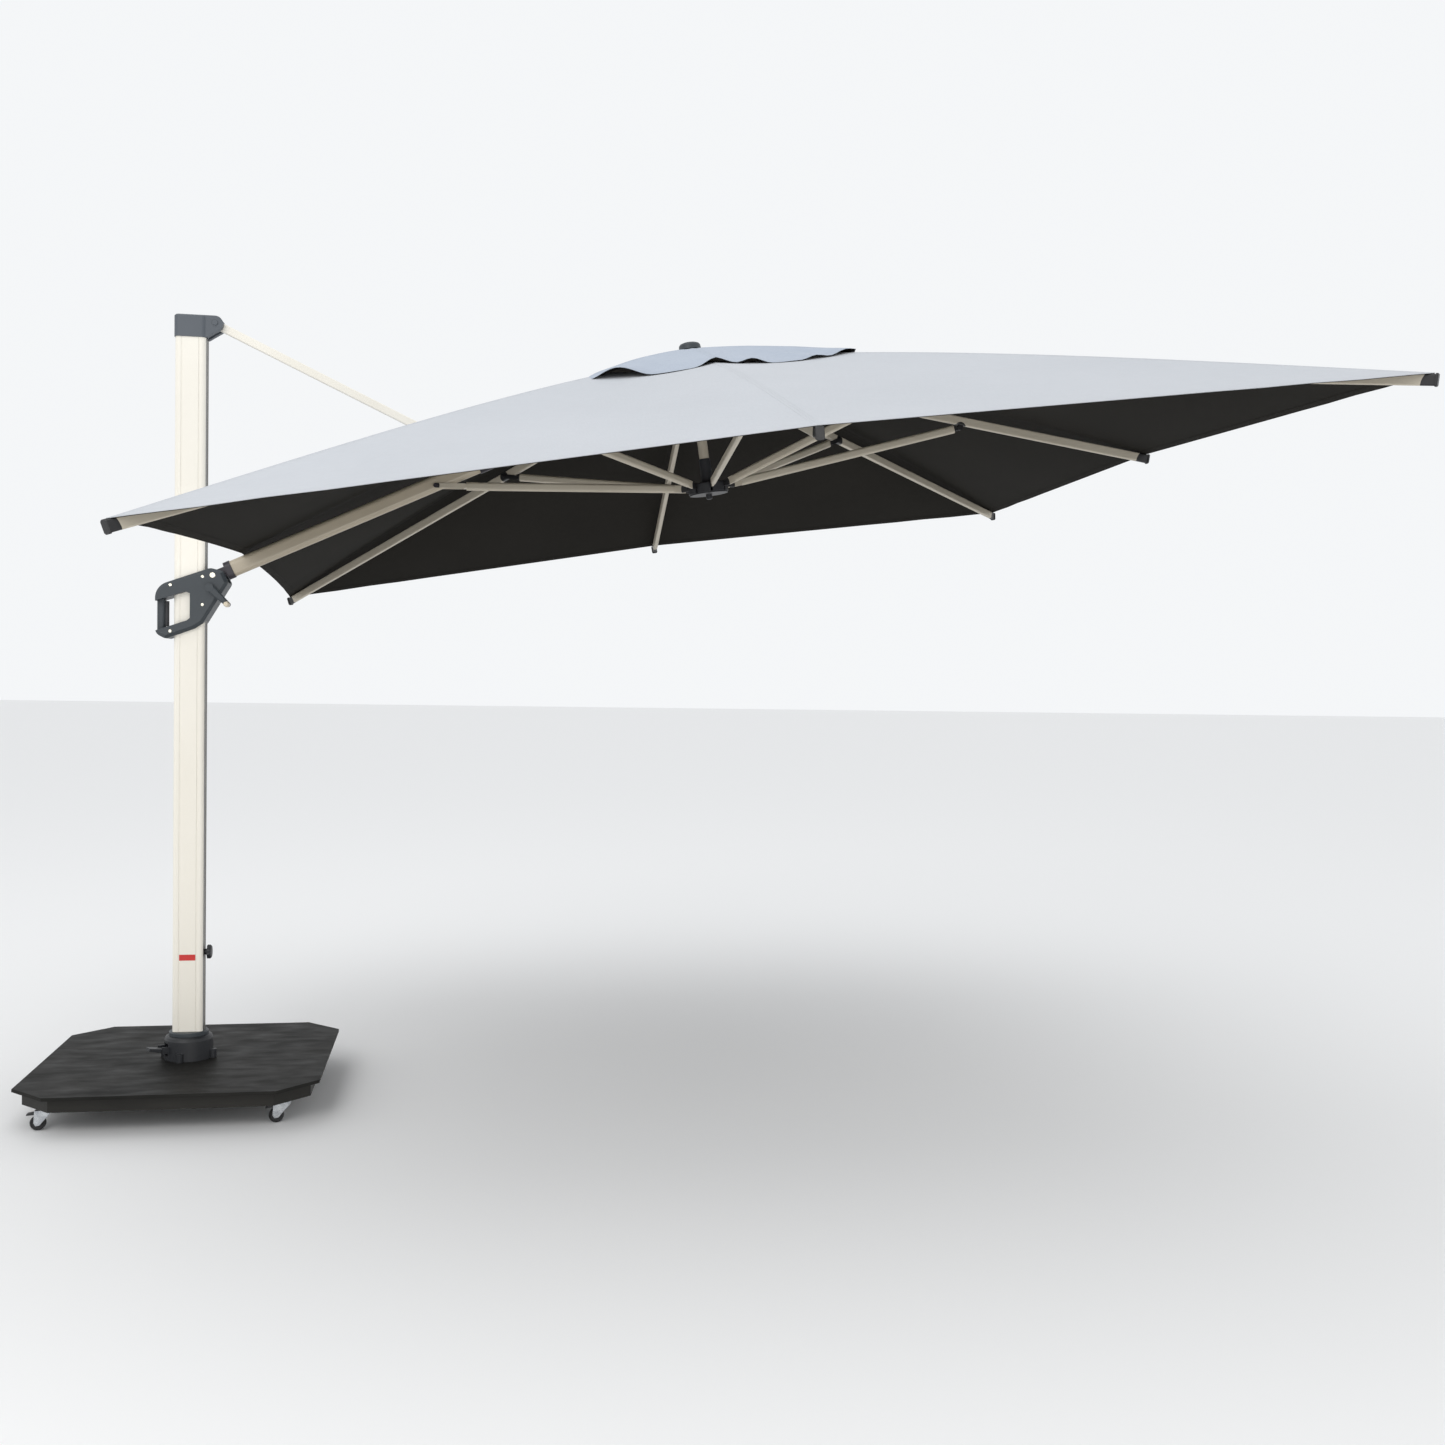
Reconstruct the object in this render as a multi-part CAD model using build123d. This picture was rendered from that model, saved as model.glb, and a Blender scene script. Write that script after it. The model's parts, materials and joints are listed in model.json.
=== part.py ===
from build123d import *
from math import acos, atan2, cos, degrees, hypot, radians, sin, sqrt, tan
import os

# Cantilever patio umbrella on a weighted, wheeled base. Millimetres and degrees.
# Origin: on the mast's axis, at the level of the floor. +X from the mast towards the canopy,
# +Y to the rear, +Z up. Front is -Y. The canopy is a square of eight panels on seven ribs and
# the cantilever arm, which takes the place of the eighth rib.

# ---------------------------------------------------------------- running clearances
PIN_CLEARANCE = 0.05        # radial, between a pin and its hole
SIDE_CLEARANCE = 0.3        # each side of a blade between two ears
GLIDE_CLEARANCE = 0.4       # each side, between the mast and what slides on it
THROUGH = 300               # length of a cut that passes right through a piece

# ---------------------------------------------------------------- base
COVER_SIDE = 836            # square steel cover with cut corners
COVER_CORNER = 107          # leg of each cut corner
COVER_TOP = 115             # its upper face above the floor
COVER_SHEET = 3
COVER_LIP = 9               # height of the folded edge
TRAY_INSET = 25             # how far the tray stands back from the cover's edge
TRAY_BOTTOM = 67
TRAY_SHEET = 2
BEAM_WIDTH = 60             # cross frame of steel box section
BEAM_WALL = 3
FLANGE_RADIUS = 56
FLANGE_THICKNESS = 8
FLANGE_BOLT_CIRCLE = 42
FLANGE_BOLT_RADIUS = 5
POST_RADIUS = 18            # the post that the mast turns on
POST_HEIGHT = 60

# ---------------------------------------------------------------- casters
CASTER_PLACE = 322          # X and Y distance of each swivel axis from the mast
CASTER_PLATE = 46
CASTER_PLATE_THICKNESS = 3
SWIVEL_STUD = 4             # radius
WHEEL_RADIUS = 21
WHEEL_WIDTH = 17
WHEEL_TRAIL = 22            # how far the wheel's axle stands behind the swivel axis
AXLE_RADIUS = 3
FORK_SHEET = 2
FORK_HEAD_RADIUS = 19
FORK_HEAD_HEIGHT = 9
BRAKE_LENGTH = 24
BRAKE_AXIS = 47             # height of the brake lever's pin
BRAKE_PIN_RADIUS = 2

# ---------------------------------------------------------------- turning collar
COLLAR_RADIUS = 72
COLLAR_HEIGHT = 70
COLLAR_WALL = 6
COLLAR_LUGS = 4
COLLAR_LUG_TURN = -11       # the first lug's direction from +X
RING_RADIUS = 57            # the turning ring on top of the collar
RING_HEIGHT = 12
RING_GAP = 0.5              # between the collar and the ring
INDEX_RADIUS = 50           # notched disc under the ring
INDEX_NOTCHES = 12
INDEX_THICKNESS = 10
INDEX_LEVEL = 150           # middle of the notched disc
PEDAL_LENGTH = 42
PEDAL_WIDTH = 30
PEDAL_PIN_RADIUS = 3
PEDAL_AXIS_OUT = 80         # hinge axis from the mast's axis
PEDAL_TURN = 30             # the pedal's direction, counted from -X

# ---------------------------------------------------------------- mast
MAST_WIDTH = 90             # along X
MAST_DEPTH = 60             # along Y
MAST_CORNER = 13
MAST_WALL = 2.6
TRACK_WIDTH = 13            # rope track in the face towards the canopy
TRACK_DEPTH = 14
GROOVE_WIDTH = 3            # decorative grooves of the extrusion
GROOVE_DEPTH = 0.8
SPIGOT_HEIGHT = 290
SPIGOT_WALL = 3
KNOB_LEVEL = 436
KNOB_RADIUS = 21
KNOB_SCREW_RADIUS = 4
KNOB_NECK = 8.3
CAP_WALL = 3
CAP_ROOF = 11               # thickness over the mast's end
CAP_RISE = 21               # from the strut's pivot to the cap's top
CAP_SKIRT = 66              # from the cap's top to its lower edge
CAP_EAR_RADIUS = 23

# ---------------------------------------------------------------- lifting linkage
# The slider's pivot and the top strut's pivot stand one above the other, and the strut and the
# arm's lower part are equally long, so the slider stays upright and runs true along the mast.
PIVOT_OUT = 70              # X of both pivots
SLIDER_PIVOT_HEIGHT = 1581
STRUT_PIVOT_HEIGHT = 2338
JOINT_OUT = 880             # X of the pivot between the strut and the arm
ARM_HEIGHT = 50             # oval tube
ARM_WIDTH = 30
ARM_WALL = 2
ARM_ROOT_LENGTH = 56        # from the pivot to where the tube starts
TOP_STRUT_HEIGHT = 24
TOP_STRUT_WIDTH = 20
TOP_STRUT_WALL = 1.6
FORK_PLATE = 4
FORK_LENGTH = 64
PIVOT_BOLT_RADIUS = 5
BOLT_HEAD_RADIUS = 8
SLEEVE_WALL = 3
SLEEVE_LENGTH = 64

# ---------------------------------------------------------------- slider housing
SHELL_DEPTH = 48            # half of the housing's depth
SHELL_BEVEL = 9
SHELL_BACK = 96             # the housing's back edge behind the mast's axis
SCREW_RADIUS = 4.2
SCREW_HEAD = 2
GRIP_WIDTH = 24
GRIP_DEPTH = 30
TRIGGER_TRAVEL = 6
CRANK_OUT = 63              # crank axis
CRANK_HEIGHT = 1543
CRANK_LENGTH = 73
CRANK_ANGLE = -43           # direction of the crank arm at rest, from +X
CRANK_SHAFT_RADIUS = 6
DRUM_RADIUS = 14
CRANK_GAP = 3               # between the housing and the crank, over the pivot bolt's head
CRANK_PIN_RADIUS = 3
CRANK_KNOB_RADIUS = 9
CRANK_KNOB_LENGTH = 34

# ---------------------------------------------------------------- canopy, in its own frame
CANOPY_SIDE = 3000
CANOPY_TILT = 8.46          # the far side is higher
APEX_OUT = 1518.6           # X of the apex; its height follows from the arm's
MID_DROP = 466              # apex to the middle of an edge
CORNER_DROP = 498.7         # apex to a corner
MAST_SIDE_NOTCH = 110       # how far the edge is cut back at the arm
FABRIC = 1.5
VENT_HALF = 300             # half the side of the opening under the vent flap
FLAP_HALF = 420
FLAP_LIFT = 30
FLAP_HOLE = 16              # half the side of the flap's centre hole
FLAP_SEAT_RADIUS = 20
FINIAL_RADIUS = 36
FINIAL_HEIGHT = 22
SLOT_LENGTH = 150           # slot for the top strut
SLOT_WIDTH = 60

# ---------------------------------------------------------------- frame under the canopy
HINGE_CIRCLE = 58           # radius of the hinge circles of both hubs
RIB_HINGE_DROP = 45         # hinges under the apex
ARM_HINGE_DROP = 69.354
LOWER_HUB_DROP = 412
RIB_HEIGHT = 28
RIB_WIDTH = 16
RIB_WALL = 1.4
RIB_CORNER = 4
RIB_TUBE_START = 42         # from the hinge to the tube's end
RIB_PLUG = 12               # how far the hinge blade's plug reaches into the tube
RIB_EYE_RADIUS = 9
RIB_BLADE = 8
RIB_BELOW_FABRIC = 17.2     # rib centre line under the fabric at its tip
RIB_PIN_RADIUS = 4
MID_STAY_CIRCLE = 860       # radius where the stays meet the middle ribs
ARM_STAY_CIRCLE = 850
STAY_OFFSET = 22            # stay pivot under a middle rib's centre line
ARM_STAY_OFFSET = 8
STAY_HEIGHT = 26            # oval tube
STAY_WIDTH = 16
STAY_WALL = 1.3
STAY_BLADE = 6
STAY_BLADE_HEIGHT = 14
STAY_BLADE_LENGTH = 24
STAY_HUB_BLADE = 54         # the flat end in the lower hub's slot, long enough for the whole swing
STAY_HUB_BLADE_HEIGHT = 23
STAY_HUB_SHOULDER = 24      # where the flat end reaches its full height
ARM_STAY_FORK = 96
RIB_STAY_FORK = 72          # fork of a corner stay, around its rib
FORK_SHEET = 3
STAY_PIN_RADIUS = 3
BRACKET_RADIUS = 8          # bracket under a rib for its stay
BRACKET_SHEET = 3
TIP_CAP_LENGTH = 28
TIP_CAP_HEAD = 6            # length of the cap's head
TIP_CAP_MARGIN = 6          # how much wider the head is than the rib
ARM_HEAD_BLADE = 14
LOWER_HUB_RADIUS = 64
LOWER_HUB_RISE = 12          # fins above and below the stays' pivots
LOWER_HUB_DEPTH = 18
HUB_TUBE_RADIUS = 15.5
HUB_SLEEVE_HEIGHT = 78
DOCK_GAP = 0.5              # between the lower hub's tube and the top hub
TOP_HUB_BOTTOM = 84

DIRECTIONS = {"outer": 0, "rear_right": 45, "rear": 90, "rear_left": 135,
              "front_left": 225, "front": 270, "front_right": 315}
CORNERS = ("rear_right", "rear_left", "front_left", "front_right")
STAY_WITH_HUB = "front_left"  # the stay whose pin also carries the lower hub
CASTERS = {"front_left": (-1, -1), "front_right": (1, -1), "rear_left": (-1, 1), "rear_right": (1, 1)}

# ---------------------------------------------------------------- derived places
ARM_SLOPE = degrees(atan2((STRUT_PIVOT_HEIGHT - SLIDER_PIVOT_HEIGHT) / 2, JOINT_OUT - PIVOT_OUT))
LINK_LENGTH = hypot((STRUT_PIVOT_HEIGHT - SLIDER_PIVOT_HEIGHT) / 2, JOINT_OUT - PIVOT_OUT)
JOINT_HEIGHT = (STRUT_PIVOT_HEIGHT + SLIDER_PIVOT_HEIGHT) / 2

# the hub hangs on the arm's outer pivot, which fixes the height of the apex
HUB_PIVOT_OUT = APEX_OUT - HINGE_CIRCLE * cos(radians(CANOPY_TILT)) + ARM_HINGE_DROP * sin(radians(CANOPY_TILT))
HUB_PIVOT_HEIGHT = SLIDER_PIVOT_HEIGHT + (HUB_PIVOT_OUT - PIVOT_OUT) * tan(radians(ARM_SLOPE))
PIVOT_TO_APEX = HINGE_CIRCLE * sin(radians(CANOPY_TILT)) + ARM_HINGE_DROP * cos(radians(CANOPY_TILT))
APEX_HEIGHT = HUB_PIVOT_HEIGHT + PIVOT_TO_APEX
ARM_SLOPE_IN_CANOPY = ARM_SLOPE - CANOPY_TILT
ARM_LENGTH = hypot(HUB_PIVOT_OUT - PIVOT_OUT, HUB_PIVOT_HEIGHT - SLIDER_PIVOT_HEIGHT)

CAP_TOP = STRUT_PIVOT_HEIGHT + CAP_RISE
MAST_TOP = CAP_TOP - CAP_ROOF
COLLAR_TOP = COVER_TOP + COLLAR_HEIGHT
MAST_FOOT = COLLAR_TOP + RING_GAP + RING_HEIGHT

CANOPY_FRAME = Location((APEX_OUT, 0, APEX_HEIGHT), (0, -CANOPY_TILT, 0))
ARM_FRAME = Location((PIVOT_OUT, 0, SLIDER_PIVOT_HEIGHT), (0, -ARM_SLOPE, 0))
TOP_STRUT_FRAME = Location((PIVOT_OUT, 0, STRUT_PIVOT_HEIGHT), (0, ARM_SLOPE, 0))


def spoke(direction):
    """The canopy's frame turned to one of its eight directions: X outward, Z up."""
    return CANOPY_FRAME * Location((0, 0, 0), (0, 0, direction))


def tip_of(name):
    """(distance out, drop) of the rib's end."""
    if name in CORNERS:
        return CANOPY_SIDE / sqrt(2), CORNER_DROP + RIB_BELOW_FABRIC
    return CANOPY_SIDE / 2, MID_DROP + RIB_BELOW_FABRIC


def rib_slope(name):
    out, drop = tip_of(name)
    return degrees(atan2(drop - RIB_HINGE_DROP, out - HINGE_CIRCLE))


def rib_length(name):
    out, drop = tip_of(name)
    return hypot(drop - RIB_HINGE_DROP, out - HINGE_CIRCLE)


def rib_frame(name):
    return spoke(DIRECTIONS[name]) * Location((HINGE_CIRCLE, 0, -RIB_HINGE_DROP), (0, rib_slope(name), 0))


def stay_joint(name):
    """Where the stay meets its rib or the arm: (distance along the rib, distance out, drop)."""
    if name == "arm":
        slope, circle = radians(ARM_SLOPE_IN_CANOPY), ARM_STAY_CIRCLE
        offset, hinge = ARM_STAY_OFFSET, ARM_HINGE_DROP
    else:
        slope, circle = radians(rib_slope(name)), MID_STAY_CIRCLE
        offset, hinge = STAY_OFFSET, RIB_HINGE_DROP
    if name in CORNERS:
        # on the rib's centre line, half way down between the hubs' pivots: stay and rib part are
        # equally long, so the corner stays keep the lower hub on its axis
        half_way = (LOWER_HUB_DROP - hinge) / 2
        return half_way / sin(slope), HINGE_CIRCLE + half_way / tan(slope), hinge + half_way
    along = (circle - HINGE_CIRCLE + offset * sin(slope)) / cos(slope)
    return along, circle, hinge + along * sin(slope) + offset * cos(slope)


def stay_frame(name):
    """X from the joint at the rib towards the lower hub."""
    _, out, drop = stay_joint(name)
    dx, dz = HINGE_CIRCLE - out, drop - LOWER_HUB_DROP
    turn = 180 if name == "arm" else DIRECTIONS[name]
    return spoke(turn) * Location((out, 0, -drop), (0, degrees(atan2(-dz, dx)), 0))


def stay_length(name):
    _, out, drop = stay_joint(name)
    return hypot(out - HINGE_CIRCLE, LOWER_HUB_DROP - drop)


# ---------------------------------------------------------------- shape helpers
def cylinder_y(radius, length, x, z, y=0.0):
    return Pos(x, y, z) * Rot(90, 0, 0) * Cylinder(radius, length)


def box_at(x, y, z):
    """A box from three (low, high) spans."""
    centre = Pos((x[0] + x[1]) / 2, (y[0] + y[1]) / 2, (z[0] + z[1]) / 2)
    return centre * Box(x[1] - x[0], y[1] - y[0], z[1] - z[0])


def along_x(sketch, start, length):
    """A profile drawn as (Y, Z) swept along +X."""
    plane = Plane(origin=(start, 0, 0), x_dir=(0, 1, 0), z_dir=(1, 0, 0))
    return extrude(plane * sketch, length)


def plate_xz(points, y, thickness):
    """A flat plate with its outline in X and Z, from y to y + thickness."""
    face = make_face(Polyline(*[(px, 0, pz) for px, pz in points], close=True))
    return Pos(0, y, 0) * extrude(face, thickness, dir=(0, 1, 0))


def blade(radius, length, thickness):
    """A flat bar along +X from a round end at the origin."""
    bar = box_at((0, length), (-thickness / 2, thickness / 2), (-radius, radius))
    return bar + cylinder_y(radius, thickness, 0, 0)


def pivot_bolt(half, head, x, z):
    """Bolt across Y from -half to half, with a round head of the given height at each end."""
    bolt = cylinder_y(PIVOT_BOLT_RADIUS, 2 * half, x, z)
    for side in (-1, 1):
        bolt += cylinder_y(BOLT_HEAD_RADIUS, head, x, z, side * (half + head / 2))
    return bolt


def cut_square(side, corner):
    h = side / 2
    points = [(h, h - corner), (h - corner, h), (-h + corner, h), (-h, h - corner),
              (-h, -h + corner), (-h + corner, -h), (h - corner, -h), (h, -h + corner)]
    return make_face(Polyline(*points, close=True))


def corner_leg(inset):
    return COVER_CORNER - inset * (2 - sqrt(2))


def bevelled(width, height, corner):
    """Rectangle with its corners cut off."""
    x, y = width / 2, height / 2
    half = [(x, y - corner), (x - corner, y), (corner - x, y), (-x, y - corner)]
    return make_face(Polyline(*half, *[(-a, -b) for a, b in half], close=True))


def turned(profile):
    """Solid of revolution about Z from (radius, height) points."""
    return revolve(make_face(Polyline(*[(r, 0, t) for r, t in profile], close=True)), Axis.Z)


def save(name, *shapes):
    solids = [s for shape in shapes for s in shape.solids()]
    export_step(solids[0] if len(solids) == 1 else Compound(solids), f"parts/{name}.step")


# ---------------------------------------------------------------- base
def base_cover():
    body = extrude(cut_square(COVER_SIDE, COVER_CORNER), COVER_LIP)
    body = chamfer(body.faces().sort_by(Axis.Z)[-1].outer_wire().edges(), 1.5)
    inner = extrude(cut_square(COVER_SIDE - 2 * COVER_SHEET, corner_leg(COVER_SHEET)), COVER_LIP - COVER_SHEET)
    hole = Cylinder(FLANGE_RADIUS + 2, 4 * COVER_LIP)
    return Pos(0, 0, COVER_TOP - COVER_LIP) * (body - inner - hole)


def base_tray():
    height = COVER_TOP - COVER_SHEET - TRAY_BOTTOM
    outer = extrude(cut_square(COVER_SIDE - 2 * TRAY_INSET, corner_leg(TRAY_INSET)), height)
    inset = TRAY_INSET + TRAY_SHEET
    inner = extrude(cut_square(COVER_SIDE - 2 * inset, corner_leg(inset)), height)
    return Pos(0, 0, TRAY_BOTTOM) * (outer - Pos(0, 0, TRAY_SHEET) * inner)


BEAM_BOTTOM = TRAY_BOTTOM + TRAY_SHEET
BEAM_TOP = COVER_TOP - COVER_SHEET - 3
BEAM_LENGTH = COVER_SIDE - 2 * (TRAY_INSET + TRAY_SHEET) - 1


def cross_frame():
    def beams(trim, end):
        half, width = BEAM_LENGTH / 2 + end, BEAM_WIDTH / 2 - trim
        z = (BEAM_BOTTOM + trim, BEAM_TOP - trim)
        return box_at((-half, half), (-width, width), z) + box_at((-width, width), (-half, half), z)
    return beams(0, 0) - beams(BEAM_WALL, 1)


def ballast_slabs():
    """Four concrete slabs in the quarters of the tray, each with its outer corner cut off."""
    gap = 1.0
    low = BEAM_WIDTH / 2 + gap
    high = BEAM_LENGTH / 2
    cut = corner_leg(TRAY_INSET + TRAY_SHEET)
    outline = [(low, low), (high, low), (high, high - cut), (high - cut, high), (low, high)]
    slab = make_face(Polyline(*outline, close=True))
    slab = Pos(0, 0, BEAM_BOTTOM) * extrude(slab, BEAM_TOP - BEAM_BOTTOM)
    return [Rot(0, 0, 90 * k) * slab for k in range(4)]


def base_flange():
    disc = Pos(0, 0, BEAM_TOP + FLANGE_THICKNESS / 2) * Cylinder(FLANGE_RADIUS, FLANGE_THICKNESS)
    post = Pos(0, 0, BEAM_TOP + FLANGE_THICKNESS + POST_HEIGHT / 2) * Cylinder(POST_RADIUS, POST_HEIGHT)
    heads = []
    for k in range(4):
        turn = Rot(0, 0, 45 + 90 * k)
        head = extrude(RegularPolygon(FLANGE_BOLT_RADIUS * 1.6, 6), 6)
        heads.append(turn * Pos(FLANGE_BOLT_CIRCLE, 0, BEAM_TOP + FLANGE_THICKNESS) * head)
    return [disc + post] + heads


# ---------------------------------------------------------------- casters
CASTER_TOP = TRAY_BOTTOM
PLATE_UNDER = CASTER_TOP - CASTER_PLATE_THICKNESS
HEAD_TOP = PLATE_UNDER - 1
HEAD_UNDER = HEAD_TOP - FORK_HEAD_HEIGHT


def caster_at(name):
    sx, sy = CASTERS[name]
    return Location((sx * CASTER_PLACE, sy * CASTER_PLACE, 0))


def caster_plate(name):
    plate = extrude(RectangleRounded(CASTER_PLATE, CASTER_PLATE, 5), CASTER_PLATE_THICKNESS)
    stud = Pos(0, 0, -(CASTER_TOP - HEAD_UNDER) / 2 + CASTER_PLATE_THICKNESS / 2) * Cylinder(
        SWIVEL_STUD, CASTER_TOP - HEAD_UNDER - CASTER_PLATE_THICKNESS + 4)
    return caster_at(name) * Pos(0, 0, PLATE_UNDER) * (plate + stud)


def caster_fork(name):
    """Pressed fork: a round swivel head, and two cheeks that taper down to the axle."""
    head = Pos(0, 0, (HEAD_TOP + HEAD_UNDER) / 2) * Cylinder(FORK_HEAD_RADIUS, FORK_HEAD_HEIGHT)
    head = chamfer(head.faces().sort_by(Axis.Z)[-1].edges(), 3)
    inner = WHEEL_WIDTH / 2 + 1.5
    cheeks = None
    for side in (-1, 1):
        y = inner if side > 0 else -inner - FORK_SHEET
        outline = [(-FORK_HEAD_RADIUS, HEAD_UNDER + 1), (FORK_HEAD_RADIUS - 1, HEAD_UNDER + 1),
                   (-WHEEL_TRAIL + 7, WHEEL_RADIUS - 5), (-WHEEL_TRAIL - 4, WHEEL_RADIUS - 7),
                   (-WHEEL_TRAIL - 9, WHEEL_RADIUS + 2), (-WHEEL_TRAIL - 7, HEAD_UNDER + 1)]
        cheek = plate_xz(outline, y, FORK_SHEET)
        cheeks = cheek if cheeks is None else cheeks + cheek
    axle = cylinder_y(AXLE_RADIUS, 2 * (inner + FORK_SHEET) + 3, -WHEEL_TRAIL, WHEEL_RADIUS)
    outer = inner + FORK_SHEET
    bridge = box_at((-WHEEL_TRAIL - 7, -8), (-outer, outer), (HEAD_UNDER - 0.01, HEAD_UNDER + 3))
    bore = Pos(0, 0, HEAD_UNDER) * Cylinder(SWIVEL_STUD + PIN_CLEARANCE, 60)
    brake_pin = cylinder_y(BRAKE_PIN_RADIUS, 2 * (inner + FORK_SHEET), -WHEEL_TRAIL - 5, BRAKE_AXIS)
    return caster_at(name) * (head + cheeks + axle + bridge + brake_pin - bore)


def caster_wheel(name):
    """Wheel with a raised hub, a grooved tyre and a bore that runs on the fork's axle."""
    half = WHEEL_WIDTH / 2
    profile = [(AXLE_RADIUS + PIN_CLEARANCE, -half - 1), (9, -half - 1), (10, 2 - half), (15, 2 - half),
               (17, -half), (WHEEL_RADIUS, 3 - half)]
    profile += [(r, -t) for r, t in reversed(profile)]
    return caster_at(name) * Pos(-WHEEL_TRAIL, 0, WHEEL_RADIUS) * Rot(90, 0, 0) * turned(profile)


def caster_brake(name):
    """Foot lever over the wheel, on a pin across the fork."""
    x = -WHEEL_TRAIL - 5
    width = WHEEL_WIDTH / 2 + 0.9
    lever = plate_xz([(x + 4, BRAKE_AXIS - 1), (x + 4, BRAKE_AXIS + 3.5), (x - 6, BRAKE_AXIS + 4),
                      (x - BRAKE_LENGTH, BRAKE_AXIS), (x - BRAKE_LENGTH - 1, BRAKE_AXIS - 4),
                      (x - 8, BRAKE_AXIS - 2.5), (x, BRAKE_AXIS - 3.8)], -width, 2 * width)
    hole = cylinder_y(BRAKE_PIN_RADIUS + PIN_CLEARANCE, THROUGH, x, BRAKE_AXIS)
    return caster_at(name) * (lever - hole)


# ---------------------------------------------------------------- collar and pedal
def collar_housing():
    radius, top = COLLAR_RADIUS, COLLAR_HEIGHT
    profile = [(0, 0), (radius, 0), (radius - 2, top - 12), (radius - 5, top - 4), (radius - 11, top), (0, top)]
    body = turned(profile)
    for k in range(COLLAR_LUGS):
        lug = extrude(SlotOverall(34, 22), 26)
        body += Rot(0, 0, COLLAR_LUG_TURN + 360 / COLLAR_LUGS * k) * Pos(COLLAR_RADIUS - 4, 0, 0) * lug
    body = Pos(0, 0, COVER_TOP) * body
    inside = COLLAR_RADIUS - COLLAR_WALL - 3
    depth = COLLAR_HEIGHT - COLLAR_WALL
    body -= Pos(0, 0, COVER_TOP + depth / 2) * Cylinder(inside, depth)
    body -= Pos(0, 0, COLLAR_TOP) * Cylinder(INDEX_RADIUS - 14, 3 * COLLAR_WALL)
    window = box_at((-COLLAR_RADIUS - 1, -inside + 4), (-PEDAL_WIDTH / 2 - 1, PEDAL_WIDTH / 2 + 1),
                    (COVER_TOP + 14, COVER_TOP + 50))
    body -= Rot(0, 0, PEDAL_TURN) * window
    ear_x = (-PEDAL_AXIS_OUT - 7, -COLLAR_RADIUS + 6)
    for side in (-1, 1):
        y0 = PEDAL_WIDTH / 2 + SIDE_CLEARANCE
        y = (y0, y0 + 5) if side > 0 else (-y0 - 5, -y0)
        body += Rot(0, 0, PEDAL_TURN) * box_at(ear_x, y, (INDEX_LEVEL - 12, INDEX_LEVEL + 8))
    pin = cylinder_y(PEDAL_PIN_RADIUS, PEDAL_WIDTH + 8, -PEDAL_AXIS_OUT, INDEX_LEVEL - 4)
    return body + Rot(0, 0, PEDAL_TURN) * pin


def foot_pedal():
    """Rocking pedal. Trodden down, it lifts its pawl into a notch of the turning disc."""
    x0, z0 = -PEDAL_AXIS_OUT, INDEX_LEVEL - 4
    tread = plate_xz([(x0 + 6, z0 - 5), (x0 + 6, z0 + 5), (x0 - 8, z0 + 7), (x0 - PEDAL_LENGTH, z0 + 13),
                      (x0 - PEDAL_LENGTH - 2, z0 + 5), (x0 - 10, z0 - 4)], -PEDAL_WIDTH / 2, PEDAL_WIDTH)
    top = INDEX_LEVEL - INDEX_THICKNESS / 2 - 1
    pawl = box_at((x0, -INDEX_RADIUS + 4), (-3.5, 3.5), (top - 7, top))
    body = tread + pawl
    return Rot(0, 0, PEDAL_TURN) * (body - cylinder_y(PEDAL_PIN_RADIUS + PIN_CLEARANCE, THROUGH, x0, z0))


def turntable():
    """Ring that carries the mast, its bearing hub, and the notched disc below it."""
    ring = Pos(0, 0, MAST_FOOT - RING_HEIGHT / 2) * Cylinder(RING_RADIUS, RING_HEIGHT)
    ring = chamfer(ring.faces().sort_by(Axis.Z)[-1].edges(), 3)
    low = INDEX_LEVEL - INDEX_THICKNESS / 2
    hub = Pos(0, 0, (low + COLLAR_TOP + 1) / 2) * Cylinder(INDEX_RADIUS - 16, COLLAR_TOP + 1 - low)
    disc = Pos(0, 0, INDEX_LEVEL) * Cylinder(INDEX_RADIUS, INDEX_THICKNESS)
    for k in range(INDEX_NOTCHES):
        notch = box_at((INDEX_RADIUS - 5, INDEX_RADIUS + 5), (-4, 4), (-INDEX_THICKNESS, INDEX_THICKNESS))
        disc -= Rot(0, 0, 180 + PEDAL_TURN + 360 / INDEX_NOTCHES * k) * Pos(0, 0, INDEX_LEVEL) * notch
    bore = Pos(0, 0, low) * Cylinder(POST_RADIUS + PIN_CLEARANCE, 2 * (COLLAR_TOP - 2 - low))
    return ring + hub + disc - bore


# ---------------------------------------------------------------- mast
def mast_profile(margin=0.0):
    return RectangleRounded(MAST_WIDTH + 2 * margin, MAST_DEPTH + 2 * margin, MAST_CORNER + margin)


def mast_tube():
    section = mast_profile() - mast_profile(-MAST_WALL)
    face = MAST_WIDTH / 2
    channel = Pos(face - TRACK_DEPTH / 2 - 1, 0) * Rectangle(TRACK_DEPTH + 2, TRACK_WIDTH + 9)
    section += channel & mast_profile()
    section -= Pos(face - 2, 0) * Rectangle(6, TRACK_WIDTH - 4)
    section -= Pos(face - 3 - TRACK_DEPTH / 2 + 1, 0) * Rectangle(TRACK_DEPTH - 4, TRACK_WIDTH + 4)
    for x in (-25, 25):
        for side in (-1, 1):
            section -= Pos(x, side * MAST_DEPTH / 2) * Rectangle(GROOVE_WIDTH, 2 * GROOVE_DEPTH)
    tube = Pos(0, 0, MAST_FOOT) * extrude(section, MAST_TOP - MAST_FOOT)
    hole = Pos(MAST_WIDTH / 2, 0, KNOB_LEVEL) * Rot(0, 90, 0) * Cylinder(KNOB_SCREW_RADIUS + PIN_CLEARANCE, 60)
    return tube - hole


SPIGOT_FACE = MAST_WIDTH / 2 - MAST_WALL - TRACK_DEPTH - 4.5
SPIGOT_BACK = -MAST_WIDTH / 2 + MAST_WALL + 0.5


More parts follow.
